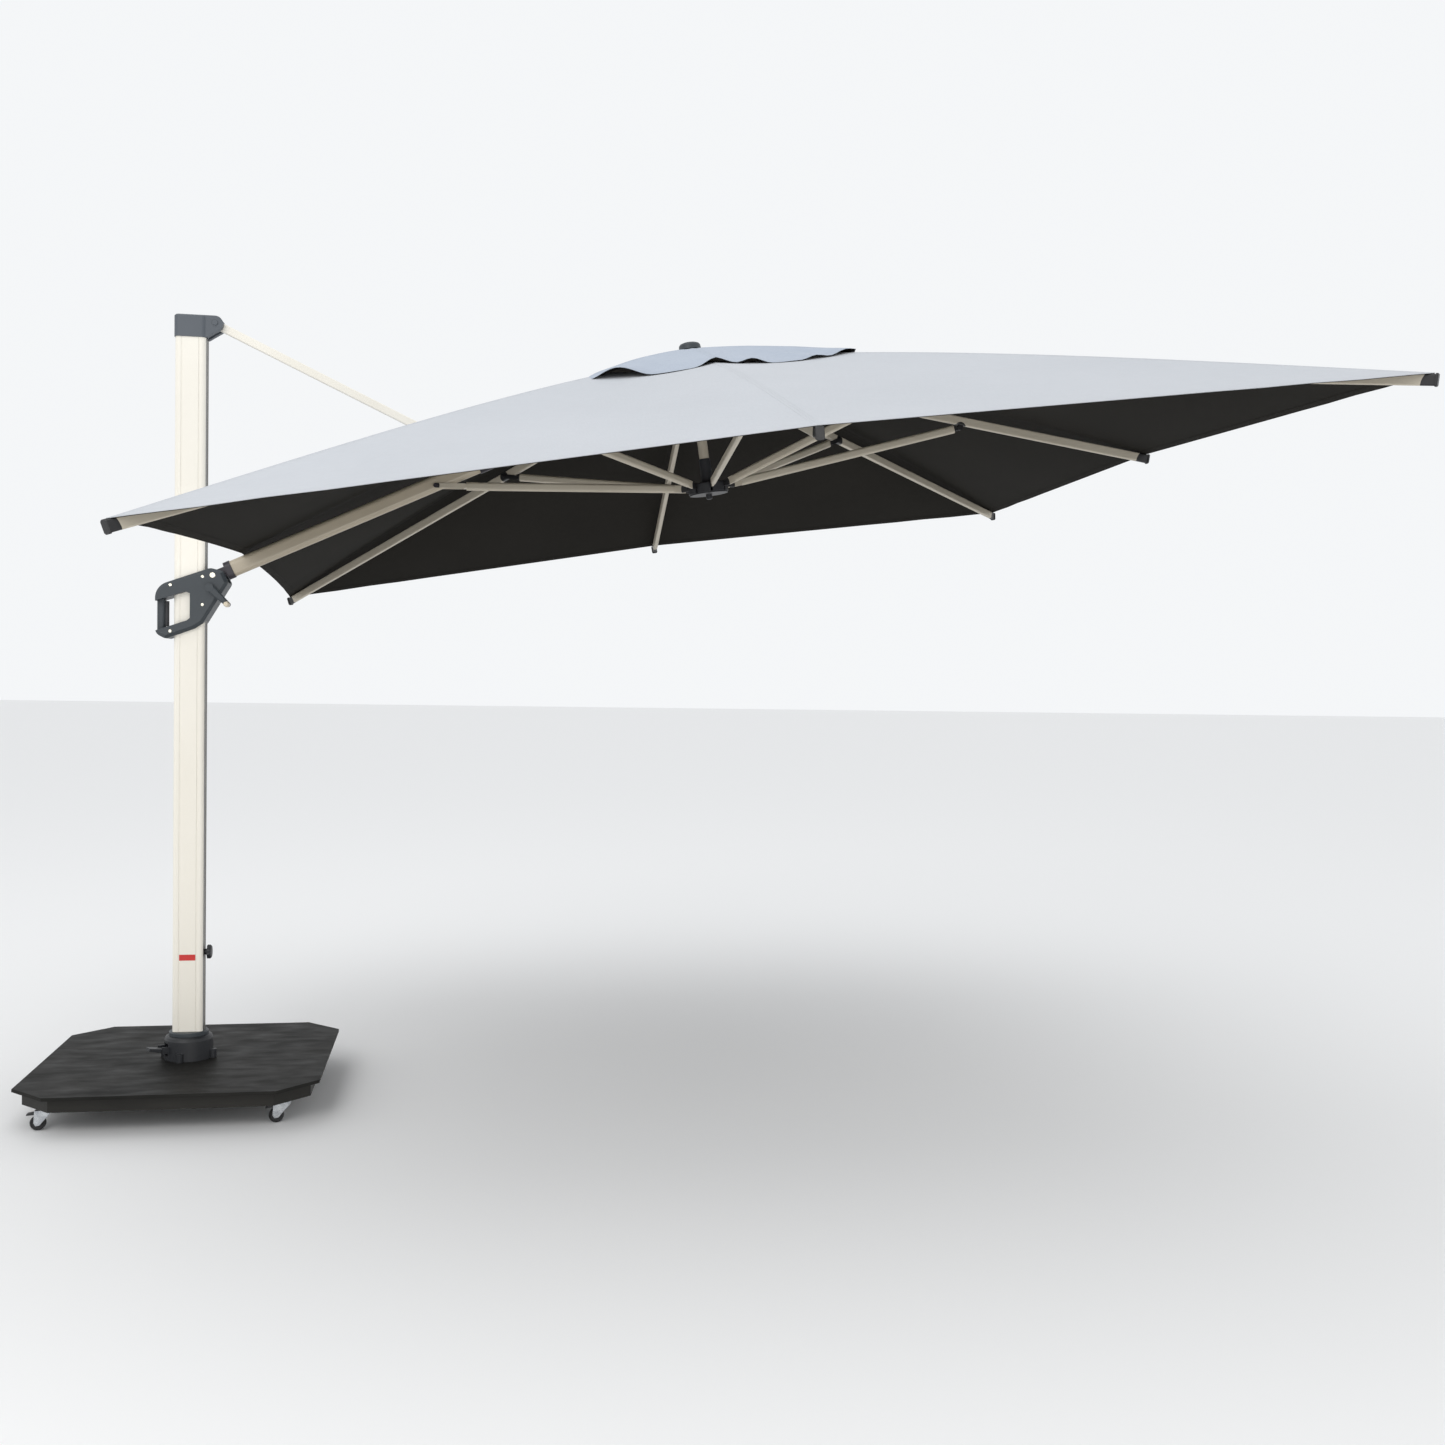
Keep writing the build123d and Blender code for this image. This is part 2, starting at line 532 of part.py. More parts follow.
def mast_spigot():
    """Steel stub inside the foot of the mast, which the lock knob presses on."""
    width = SPIGOT_FACE - SPIGOT_BACK
    depth = MAST_DEPTH - 2 * MAST_WALL - 1
    radius = MAST_CORNER - MAST_WALL
    section = RectangleRounded(width, depth, radius)
    section -= RectangleRounded(width - 2 * SPIGOT_WALL, depth - 2 * SPIGOT_WALL, radius - SPIGOT_WALL)
    return Pos((SPIGOT_FACE + SPIGOT_BACK) / 2, 0, MAST_FOOT) * extrude(section, SPIGOT_HEIGHT)


def lock_knob():
    """Mushroom knob with finger scallops, a neck and a screw through the mast wall."""
    face = MAST_WIDTH / 2
    head = extrude(Circle(KNOB_RADIUS), 12)
    head = chamfer(head.faces().sort_by(Axis.Z)[-1].edges(), 3.5)
    for k in range(8):
        head -= Rot(0, 0, 45 * k) * Pos(KNOB_RADIUS + 4, 0, 6) * Cylinder(6, 30)
    neck = Pos(0, 0, (SIDE_CLEARANCE - KNOB_NECK) / 2) * Cylinder(9, KNOB_NECK - SIDE_CLEARANCE)
    reach = face + KNOB_NECK - SPIGOT_FACE - SIDE_CLEARANCE
    screw = Pos(0, 0, -reach / 2) * Cylinder(KNOB_SCREW_RADIUS, reach)
    return Pos(face + KNOB_NECK, 0, KNOB_LEVEL) * Rot(0, 90, 0) * (head + neck + screw)


def mast_cap():
    """Cap with two ears that hold the top strut, and the pivot bolt."""
    outer = mast_profile(CAP_WALL)
    body = Pos(0, 0, CAP_TOP - CAP_SKIRT) * extrude(outer, CAP_SKIRT)
    body = chamfer(body.faces().sort_by(Axis.Z)[-1].edges(), 4)
    half = MAST_DEPTH / 2 + CAP_WALL - 4
    low = CAP_TOP - CAP_SKIRT
    nose = cylinder_y(CAP_EAR_RADIUS, 2 * half, PIVOT_OUT, STRUT_PIVOT_HEIGHT - 2)
    side_view = [(20, low), (46, low), (PIVOT_OUT + 14, STRUT_PIVOT_HEIGHT - 20), (PIVOT_OUT, CAP_TOP),
                 (20, CAP_TOP)]
    web = plate_xz(side_view, -half, 2 * half)
    body = body + nose + web
    pocket = mast_profile(0.15)
    body -= Pos(0, 0, low - 1) * extrude(pocket, MAST_TOP - low + 1)
    gap = TOP_STRUT_WIDTH / 2 + SIDE_CLEARANCE
    body -= box_at((MAST_WIDTH / 2 + CAP_WALL - 1, PIVOT_OUT + 60), (-gap, gap), (low - 20, CAP_TOP + 20))
    return body + pivot_bolt(half, 3, PIVOT_OUT, STRUT_PIVOT_HEIGHT)


# ---------------------------------------------------------------- top strut
def top_strut():
    """Box tube from the mast cap, ending in a fork that straddles the arm."""
    profile = RectangleRounded(TOP_STRUT_WIDTH, TOP_STRUT_HEIGHT, 3)
    bore = RectangleRounded(TOP_STRUT_WIDTH - 2 * TOP_STRUT_WALL, TOP_STRUT_HEIGHT - 2 * TOP_STRUT_WALL, 1.6)
    start, end = 4.0, LINK_LENGTH - FORK_LENGTH
    tube = along_x(profile - bore, start, end - start)
    eye = blade(TOP_STRUT_HEIGHT / 2, 34, TOP_STRUT_WIDTH) & (
        cylinder_y(TOP_STRUT_HEIGHT / 2, 60, 0, 0) + along_x(profile, 0, 34))
    half = ARM_WIDTH / 2 + SLEEVE_WALL + SIDE_CLEARANCE
    yoke = along_x(RectangleRounded(2 * (half + FORK_PLATE), TOP_STRUT_HEIGHT, 3), end - 8, 12)
    fork = yoke
    for side in (-1, 1):
        y = (half, half + FORK_PLATE) if side > 0 else (-half - FORK_PLATE, -half)
        fork += box_at((end, LINK_LENGTH), y, (-TOP_STRUT_HEIGHT / 2, TOP_STRUT_HEIGHT / 2))
        fork += cylinder_y(TOP_STRUT_HEIGHT / 2, FORK_PLATE, LINK_LENGTH, 0, (y[0] + y[1]) / 2)
    holes = cylinder_y(PIVOT_BOLT_RADIUS + PIN_CLEARANCE, THROUGH, 0, 0) + cylinder_y(
        PIVOT_BOLT_RADIUS + PIN_CLEARANCE, THROUGH, LINK_LENGTH, 0)
    return TOP_STRUT_FRAME * (tube + eye + fork - holes)


# ---------------------------------------------------------------- arm
def oval(width, height):
    """Oval section, drawn as (Y, Z): flat sides and round top and bottom."""
    return Rot(0, 0, 90) * SlotOverall(height, width)


def arm_tube():
    start, end = ARM_ROOT_LENGTH, ARM_LENGTH - 44
    bore = oval(ARM_WIDTH - 2 * ARM_WALL, ARM_HEIGHT - 2 * ARM_WALL)
    tube = along_x(oval(ARM_WIDTH, ARM_HEIGHT) - bore, start, end - start)
    holes = cylinder_y(PIVOT_BOLT_RADIUS, THROUGH, LINK_LENGTH, 0)
    stay = arm_stay_point()
    holes += cylinder_y(STAY_PIN_RADIUS + 1, THROUGH, stay[0], stay[1])
    return ARM_FRAME * (tube - holes)


def arm_stay_point():
    """The stay's pivot on the arm, in the arm's frame."""
    along, _, _ = stay_joint("arm")
    return ARM_LENGTH - along, -ARM_STAY_OFFSET


def arm_root():
    """Casting that plugs into the tube, with the eye that the slider's pivot bolt passes."""
    width = 24
    eye = blade(15, 40, width)
    collar = along_x(oval(ARM_WIDTH + 5, ARM_HEIGHT + 5), ARM_ROOT_LENGTH - 20, 20)
    plug = along_x(oval(ARM_WIDTH - 2 * ARM_WALL, ARM_HEIGHT - 2 * ARM_WALL), ARM_ROOT_LENGTH, 40)
    hole = cylinder_y(PIVOT_BOLT_RADIUS + PIN_CLEARANCE, THROUGH, 0, 0)
    return ARM_FRAME * (eye + collar + plug - hole)


def arm_sleeve():
    """Sleeve and bolt where the top strut's fork holds the arm."""
    outer = oval(ARM_WIDTH + 2 * SLEEVE_WALL, ARM_HEIGHT + 2 * SLEEVE_WALL)
    sleeve = along_x(outer - oval(ARM_WIDTH, ARM_HEIGHT), LINK_LENGTH - SLEEVE_LENGTH / 2, SLEEVE_LENGTH)
    reach = ARM_WIDTH / 2 + SLEEVE_WALL + SIDE_CLEARANCE + FORK_PLATE + SIDE_CLEARANCE
    return ARM_FRAME * (sleeve + pivot_bolt(reach, 4, LINK_LENGTH, 0))


def arm_head():
    """Casting at the end of the arm, with the blade that the top hub's ears hold, and the stay's pin."""
    end = ARM_LENGTH - 44
    plug = along_x(oval(ARM_WIDTH - 2 * ARM_WALL, ARM_HEIGHT - 2 * ARM_WALL), end - 40, 40)
    cap = along_x(oval(ARM_WIDTH + 2, ARM_HEIGHT + 2), end, 12)
    tongue = Pos(ARM_LENGTH, 0, 0) * Rot(0, 180, 0) * blade(12, 40, ARM_HEAD_BLADE)
    hole = cylinder_y(PIVOT_BOLT_RADIUS + PIN_CLEARANCE, THROUGH, ARM_LENGTH, 0)
    return ARM_FRAME * (plug + cap + tongue - hole)


def stay_pin(width, x, z):
    """Pin across the arm or a rib for the fork of its stay, with a head at each end."""
    half = width / 2 + SIDE_CLEARANCE + FORK_SHEET
    pin = cylinder_y(STAY_PIN_RADIUS, 2 * half + 1, x, z)
    for side in (-1, 1):
        pin += cylinder_y(6, 3, x, z, side * (half + 2))
    return pin


# ---------------------------------------------------------------- slider housing
def shell_outline():
    """Side view of the housing, with its round corners: (x, z, corner radius)."""
    s = SLIDER_PIVOT_HEIGHT
    return [(-SHELL_BACK, s - 178, 26), (-SHELL_BACK, s - 36, 50), (62, s + 22, 24), (98, s + 14, 14),
            (114, s - 22, 12), (42, s - 144, 20), (18, s - 161, 12), (-66, s - 193, 12)]


def opening_outline():
    """Side view of the hand opening."""
    s = SLIDER_PIVOT_HEIGHT
    return [(-SHELL_BACK - 1, s - 80), (-62, s - 69), (-8, s - 51), (5, s - 56), (5, s - 130), (-3, s - 137),
            (-62, s - 158), (-SHELL_BACK - 1, s - 170)]


def rounded_face(corners):
    """Face in X and Z, each corner rounded by the radius that goes with it."""
    face = make_face(Polyline(*[(c[0], c[1]) for c in corners], close=True))
    for x, z, radius in corners:
        face = fillet(face.vertices().sort_by_distance((x, z))[0], radius)
    return Plane.XZ * face


SCREW_PLACES = ((-51, -32), (41, -5), (41, -89), (-51, -170))   # X, and Z from the slider's pivot


def slider_cavities():
    """What both shells leave open: the mast, the arm's root, the winch drum, the grip opening."""
    s = SLIDER_PIVOT_HEIGHT
    clear = GLIDE_CLEARANCE
    mast = Pos(0, 0, s - THROUGH) * extrude(mast_profile(clear), 2 * THROUGH)
    root = box_at((MAST_WIDTH / 2 + 7, 140), (-ARM_WIDTH / 2 - 4, ARM_WIDTH / 2 + 4), (s - 19, s + 80))
    drum = cylinder_y(DRUM_RADIUS + 2, 54, CRANK_OUT, CRANK_HEIGHT)
    opening = plate_xz(opening_outline(), -THROUGH / 2, THROUGH)
    shaft = cylinder_y(CRANK_SHAFT_RADIUS + PIN_CLEARANCE, 120, CRANK_OUT, CRANK_HEIGHT, -30)
    return [mast, root, drum, opening, shaft]


def slider_shell(side):
    """One half of the housing; side is -1 for the front and 1 for the rear."""
    face = rounded_face(shell_outline())
    shell = extrude(face, SHELL_DEPTH - SHELL_BEVEL)
    shell += extrude(Pos(0, SHELL_BEVEL - SHELL_DEPTH, 0) * face, SHELL_BEVEL, taper=45)
    if side > 0:
        shell = mirror(shell, Plane.XZ)
    for cavity in slider_cavities():
        shell -= cavity
    bolt = cylinder_y(PIVOT_BOLT_RADIUS + PIN_CLEARANCE, THROUGH, PIVOT_OUT, SLIDER_PIVOT_HEIGHT)
    shell -= bolt
    for x, z in SCREW_PLACES:
        shell -= cylinder_y(SCREW_RADIUS, 2 * SCREW_HEAD, x, SLIDER_PIVOT_HEIGHT + z, side * SHELL_DEPTH)
    return shell


def slider_screws():
    """Socket screws of the housing, sunk level with its faces, and the arm's pivot bolt."""
    out = []
    for x, z in SCREW_PLACES:
        for side in (-1, 1):
            y = side * (SHELL_DEPTH - SCREW_HEAD / 2)
            screw = cylinder_y(SCREW_RADIUS, SCREW_HEAD, x, SLIDER_PIVOT_HEIGHT + z, y)
            socket = Pos(x, side * SHELL_DEPTH, SLIDER_PIVOT_HEIGHT + z) * Rot(90, 0, 0) * extrude(
                RegularPolygon(SCREW_RADIUS * 0.5, 6), 1, both=True)
            out.append(screw - socket)
    out.append(pivot_bolt(SHELL_DEPTH, 2, PIVOT_OUT, SLIDER_PIVOT_HEIGHT))
    return out


def grip_bar():
    """Upright bar of the D-shaped handle, hollowed where the trigger goes in."""
    x = (-SHELL_BACK, GRIP_WIDTH - SHELL_BACK)
    bar = extrude(Pos(sum(x) / 2, 0) * RectangleRounded(GRIP_WIDTH, GRIP_DEPTH, 9), THROUGH)
    bar = Pos(0, 0, SLIDER_PIVOT_HEIGHT - THROUGH) * bar
    bar &= plate_xz(opening_outline(), -THROUGH / 2, THROUGH)
    z = (SLIDER_PIVOT_HEIGHT - 156, SLIDER_PIVOT_HEIGHT - 78)
    return bar - box_at((x[1] - TRIGGER_TRAVEL - 3, x[1] + 1), (-8.5, 8.5), z)


def trigger():
    """Release strip on the inner side of the grip."""
    back = GRIP_WIDTH - SHELL_BACK
    z = (SLIDER_PIVOT_HEIGHT - 155, SLIDER_PIVOT_HEIGHT - 79)
    bar = box_at((back - 2, back + 9), (-8, 8), z)
    return fillet(bar.faces().sort_by(Axis.X)[-1].edges().filter_by(Axis.Z), 4)


def crank_arm():
    """Tapered crank with its shaft and the rope drum inside the housing."""
    y0 = -SHELL_DEPTH - CRANK_GAP
    shaft = cylinder_y(CRANK_SHAFT_RADIUS, -y0, CRANK_OUT, CRANK_HEIGHT, y0 / 2)
    drum = cylinder_y(DRUM_RADIUS - 5, 44, CRANK_OUT, CRANK_HEIGHT)
    for y in (-22, 22):
        drum += cylinder_y(DRUM_RADIUS, 4, CRANK_OUT, CRANK_HEIGHT, y)
    a = radians(CRANK_ANGLE)
    end_x, end_z = CRANK_OUT + CRANK_LENGTH * cos(a), CRANK_HEIGHT + CRANK_LENGTH * sin(a)
    root = Plane(origin=(CRANK_OUT, y0, CRANK_HEIGHT), z_dir=(cos(a), 0, sin(a)), x_dir=(0, 1, 0))
    tip = Plane(origin=(end_x, y0, end_z), z_dir=(cos(a), 0, sin(a)), x_dir=(0, 1, 0))
    lever = loft([root * Pos(-7, 0) * bevelled(14, 25, 4), tip * Pos(-7, 0) * bevelled(11, 15, 3)], ruled=True)
    lever += cylinder_y(12.5, 14, CRANK_OUT, CRANK_HEIGHT, y0 - 7) + cylinder_y(7.5, 11, end_x, end_z, y0 - 7)
    long = CRANK_KNOB_LENGTH - 1
    pin = cylinder_y(CRANK_PIN_RADIUS, long, end_x, end_z, y0 - 12 - long / 2)
    return shaft + drum + lever + pin


def crank_knob():
    a = radians(CRANK_ANGLE)
    x, z = CRANK_OUT + CRANK_LENGTH * cos(a), CRANK_HEIGHT + CRANK_LENGTH * sin(a)
    y = -SHELL_DEPTH - CRANK_GAP - 13
    bore, long = CRANK_PIN_RADIUS + PIN_CLEARANCE, CRANK_KNOB_LENGTH
    profile = [(bore, 0), (6.5, 0), (CRANK_KNOB_RADIUS, 10), (CRANK_KNOB_RADIUS - 1, 26), (6, long), (0, long),
               (0, long - 1), (bore, long - 1)]
    return Pos(x, y, z) * Rot(90, 0, 0) * turned(profile)


# ---------------------------------------------------------------- hubs
# the hub's top face holds the vent flap up, just under the fabric at the seat's rim
FLAP_SEAT = FLAP_LIFT - FABRIC - FLAP_SEAT_RADIUS * MID_DROP / (CANOPY_SIDE / 2) - SIDE_CLEARANCE


def ears(gap, thickness, reach, half_height, hinge, inner):
    """Two upright ears from inner to reach, around a pivot at the hinge circle."""
    pair = None
    for side in (-1, 1):
        y = (gap / 2, gap / 2 + thickness) if side > 0 else (-gap / 2 - thickness, -gap / 2)
        ear = box_at((inner, HINGE_CIRCLE), y, (-hinge - half_height, -hinge + half_height))
        ear += cylinder_y(half_height, thickness, HINGE_CIRCLE, -hinge, (y[0] + y[1]) / 2)
        pair = ear if pair is None else pair + ear
    return pair


def top_hub():
    core = Pos(0, 0, -(TOP_HUB_BOTTOM + 10) / 2) * Cylinder(34, TOP_HUB_BOTTOM - 10)
    core += Pos(0, 0, -22) * Cylinder(50, 8)
    core += Pos(0, 0, (FLAP_SEAT - 20) / 2) * Cylinder(FLAP_SEAT_RADIUS, FLAP_SEAT + 20)
    for direction in DIRECTIONS.values():
        pair = ears(RIB_BLADE + 2 * SIDE_CLEARANCE, 4, HINGE_CIRCLE, 11, RIB_HINGE_DROP, 28)
        pair += cylinder_y(RIB_PIN_RADIUS, RIB_BLADE + 9, HINGE_CIRCLE, -RIB_HINGE_DROP)
        core += Rot(0, 0, direction) * pair
    pair = ears(ARM_HEAD_BLADE + 2 * SIDE_CLEARANCE, 5, HINGE_CIRCLE, 14, ARM_HINGE_DROP, 28)
    pair += cylinder_y(PIVOT_BOLT_RADIUS, ARM_HEAD_BLADE + 12, HINGE_CIRCLE, -ARM_HINGE_DROP)
    core += Rot(0, 0, 180) * pair
    return CANOPY_FRAME * core


def finial():
    """Flat button that clamps the vent flap; its stem stands on the hub."""
    low = FLAP_LIFT - FLAP_HOLE * MID_DROP / (CANOPY_SIDE / 2) + SIDE_CLEARANCE
    top = low + FINIAL_HEIGHT
    dome = turned([(0, low), (FINIAL_RADIUS, low), (FINIAL_RADIUS - 2, top - 8), (FINIAL_RADIUS - 6, top - 3),
                   (FINIAL_RADIUS - 14, top), (0, top)])
    stem = Pos(0, 0, (low + 1 + FLAP_SEAT) / 2) * Cylinder(FLAP_HOLE - 3, low + 1 - FLAP_SEAT)
    return CANOPY_FRAME * (dome + stem)


HUB_FINS_TOP = LOWER_HUB_RISE - LOWER_HUB_DROP
HUB_FINS_BOTTOM = -LOWER_HUB_DEPTH - LOWER_HUB_DROP
HUB_TUBE_SEAT = 6           # the tube's foot above the fins, inside the sleeve


def lower_hub():
    """Disc with eight deep slots for the stays' ends, a sleeve for the hub's tube and a knob below."""
    slot = STAY_BLADE + 2 * SIDE_CLEARANCE
    low, high = HUB_FINS_BOTTOM, HUB_FINS_TOP
    body = Pos(0, 0, (low + high) / 2) * Cylinder(LOWER_HUB_RADIUS, high - low)
    body = chamfer(body.faces().sort_by(Axis.Z)[-1].edges(), 3)
    for k in range(8):
        body -= Rot(0, 0, 45 * k) * box_at((10, 100), (-slot / 2, slot / 2), (low - 1, high + 1))
    body += Pos(0, 0, low - 2.5) * Cylinder(LOWER_HUB_RADIUS - 3, 5)
    body += Pos(0, 0, high) * extrude(Circle(HUB_TUBE_RADIUS + 4), HUB_SLEEVE_HEIGHT, taper=1)
    depth = HUB_SLEEVE_HEIGHT - HUB_TUBE_SEAT
    body -= Pos(0, 0, high + HUB_TUBE_SEAT + depth / 2) * Cylinder(HUB_TUBE_RADIUS, depth + 0.02)
    knob = Pos(0, 0, low - 5 - 8) * Cylinder(10, 16)
    body += chamfer(knob.faces().sort_by(Axis.Z)[0].edges(), 3)
    pin = cylinder_y(STAY_PIN_RADIUS, slot + 4, HINGE_CIRCLE, -LOWER_HUB_DROP)
    return CANOPY_FRAME * (body + Rot(0, 0, DIRECTIONS[STAY_WITH_HUB]) * pin)


def hub_tube():
    """Tube on the lower hub that docks under the top hub when the canopy is open."""
    foot = HUB_FINS_TOP + HUB_TUBE_SEAT
    ring = Circle(HUB_TUBE_RADIUS) - Circle(HUB_TUBE_RADIUS - 1.6)
    return CANOPY_FRAME * Pos(0, 0, foot) * extrude(ring, -TOP_HUB_BOTTOM - DOCK_GAP - foot)


# ---------------------------------------------------------------- ribs and stays
def stay_bracket(along):
    """Two plates under a middle rib, with the pin for its stay."""
    gap = STAY_BLADE / 2 + SIDE_CLEARANCE
    bracket = cylinder_y(STAY_PIN_RADIUS, 2 * (gap + BRACKET_SHEET), along, -STAY_OFFSET)
    for side in (-1, 1):
        y = (gap, gap + BRACKET_SHEET) if side > 0 else (-gap - BRACKET_SHEET, -gap)
        bracket += box_at((along - BRACKET_RADIUS, along + BRACKET_RADIUS), y, (-STAY_OFFSET, -RIB_HEIGHT / 2 + 0.5))
        bracket += cylinder_y(BRACKET_RADIUS, BRACKET_SHEET, along, -STAY_OFFSET, (y[0] + y[1]) / 2)
    return bracket


def rib(name):
    """Box tube with a hinge blade, a bracket or pin for its stay and a cap on its tip."""
    length, start = rib_length(name), RIB_TUBE_START
    bore = RectangleRounded(RIB_WIDTH - 2 * RIB_WALL, RIB_HEIGHT - 2 * RIB_WALL, RIB_CORNER - RIB_WALL)
    tube = along_x(RectangleRounded(RIB_WIDTH, RIB_HEIGHT, RIB_CORNER) - bore, start, length - start)
    tongue = blade(RIB_EYE_RADIUS, start + RIB_PLUG, RIB_BLADE)
    tongue -= cylinder_y(RIB_PIN_RADIUS + PIN_CLEARANCE, THROUGH, 0, 0)
    tongue += along_x(bore, start, RIB_PLUG)
    along, _, _ = stay_joint(name)
    body = tube + tongue + (stay_pin(RIB_WIDTH, along, 0) if name in CORNERS else stay_bracket(along))
    head = RectangleRounded(RIB_WIDTH + TIP_CAP_MARGIN, RIB_HEIGHT + TIP_CAP_MARGIN - 2, TIP_CAP_MARGIN)
    cap = along_x(head, length, TIP_CAP_HEAD)
    cap = chamfer(cap.faces().sort_by(Axis.X)[-1].edges(), TIP_CAP_HEAD / 3)
    plug = along_x(bore, length - TIP_CAP_LENGTH, TIP_CAP_LENGTH)
    return [rib_frame(name) * body, rib_frame(name) * (cap + plug)]


def stay(name):
    """Oval tube, flattened where it enters the lower hub; outside a blade, or a fork around rib or arm."""
    length = stay_length(name)
    first = {"arm": ARM_STAY_FORK}.get(name, RIB_STAY_FORK if name in CORNERS else STAY_BLADE_LENGTH)
    last = length - STAY_HUB_BLADE
    section = oval(STAY_WIDTH, STAY_HEIGHT)
    bore = oval(STAY_WIDTH - 2 * STAY_WALL, STAY_HEIGHT - 2 * STAY_WALL)
    tube = along_x(section - bore, first, last - first)
    plugs = along_x(section, first - 2, 12) + along_x(section, last - 10, 12)
    eye, tall = STAY_BLADE_HEIGHT / 2, STAY_HUB_BLADE_HEIGHT / 2
    outline = [(0, eye), (eye, eye), (STAY_HUB_SHOULDER, tall), (STAY_HUB_BLADE + 4, tall),
               (STAY_HUB_BLADE + 4, -tall), (STAY_HUB_SHOULDER, -tall), (eye, -eye), (0, -eye)]
    flat = plate_xz(outline, -STAY_BLADE / 2, STAY_BLADE) + cylinder_y(eye, STAY_BLADE, 0, 0)
    inner = Pos(length, 0, 0) * Rot(0, 180, 0) * flat
    if name == "arm" or name in CORNERS:
        half = (ARM_WIDTH if name == "arm" else RIB_WIDTH) / 2 + SIDE_CLEARANCE
        outer = along_x(RectangleRounded(2 * (half + FORK_SHEET), STAY_BLADE_HEIGHT, 2), first - 10, 10)
        for side in (-1, 1):
            y = (half, half + FORK_SHEET) if side > 0 else (-half - FORK_SHEET, -half)
            outer += box_at((0, first - 5), y, (-STAY_BLADE_HEIGHT / 2, STAY_BLADE_HEIGHT / 2))
            outer += cylinder_y(STAY_BLADE_HEIGHT / 2, FORK_SHEET, 0, 0, (y[0] + y[1]) / 2)
    else:
        outer = blade(STAY_BLADE_HEIGHT / 2, first + 4, STAY_BLADE)
    body = tube + plugs + inner + outer
    for x in (0, length):
        body -= cylinder_y(STAY_PIN_RADIUS + PIN_CLEARANCE, THROUGH, x, 0)
    return stay_frame(name) * body


# ---------------------------------------------------------------- canopy
def drop_at(half, name):
    """Drop of the fabric at the square of a given half side, in a corner or middle direction."""
    share = half / (CANOPY_SIDE / 2)
    return share * (CORNER_DROP if name in CORNERS else MID_DROP)


def panels(inner, outer, thickness, lift, notch=0.0):
    """Eight flat panels between two squares on the canopy's pyramid, joined to one shell."""
    order = list(DIRECTIONS)[:4] + ["arm"] + list(DIRECTIONS)[4:]
    places = []
    for k, name in enumerate(order):
        corner = k % 2
        reach = sqrt(2) if corner else 1.0
        out = outer - (notch if name == "arm" else 0.0)
        a = radians(45 * k)
        x, y = reach * cos(a), reach * sin(a)
        places.append([(half * x, half * y, lift - drop_at(half, name)) for half in (inner, out)])
    shell = None
    for k in range(8):
        (a0, a1), (b0, b1) = places[k], places[(k + 1) % 8]
        panel = extrude(make_face(Polyline(a0, a1, b1, b0, close=True)), thickness, dir=(0, 0, -1))
        shell = panel if shell is None else shell + panel
    return shell


def canopy():
    shell = CANOPY_FRAME * panels(VENT_HALF, CANOPY_SIDE / 2, FABRIC, 0.0, MAST_SIDE_NOTCH)
    slot = Pos(LINK_LENGTH, 0, 40) * Box(SLOT_LENGTH, SLOT_WIDTH, 160)
    return shell - ARM_FRAME * slot


def vent_flap():
    return CANOPY_FRAME * panels(FLAP_HOLE, FLAP_HALF, FABRIC, FLAP_LIFT)


# ---------------------------------------------------------------- build
os.makedirs("parts", exist_ok=True)

save("base_cover", base_cover())
save("base_tray", base_tray())
save("cross_frame", cross_frame())
save("ballast_slabs", *ballast_slabs())
save("base_flange", *base_flange())
save("caster_plates", *[caster_plate(name) for name in CASTERS])
for caster in CASTERS:
    save(f"caster_fork_{caster}", caster_fork(caster))
    save(f"caster_wheel_{caster}", caster_wheel(caster))
    save(f"caster_brake_{caster}", caster_brake(caster))
save("collar_housing", collar_housing())
save("foot_pedal", foot_pedal())
save("turntable", turntable())
save("mast_tube", mast_tube())
save("mast_spigot", mast_spigot())
save("mast_cap", mast_cap())
save("lock_knob", lock_knob())
save("top_strut", top_strut())
save("arm_tube", arm_tube())
save("arm_root", arm_root())
save("arm_sleeve", arm_sleeve(), ARM_FRAME * stay_pin(ARM_WIDTH, *arm_stay_point()))
save("arm_head", arm_head())
save("slider_shell_front", slider_shell(-1))
save("slider_shell_rear", slider_shell(1))
save("slider_screws", *slider_screws())
save("grip_bar", grip_bar())
save("trigger", trigger())
save("crank_arm", crank_arm())
save("crank_knob", crank_knob())
save("top_hub", top_hub())
save("finial", finial())
save("lower_hub", lower_hub())
save("hub_tube", hub_tube())
for direction in DIRECTIONS:
    save(f"rib_{direction}", *rib(direction))
    save(f"stay_{direction}", stay(direction))
save("stay_arm", stay("arm"))
save("canopy", canopy())
save("vent_flap", vent_flap())
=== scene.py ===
import json
from math import cos, hypot, pi, radians, sin, sqrt

import bpy
import bmesh
from mathutils import Matrix, Vector, noise


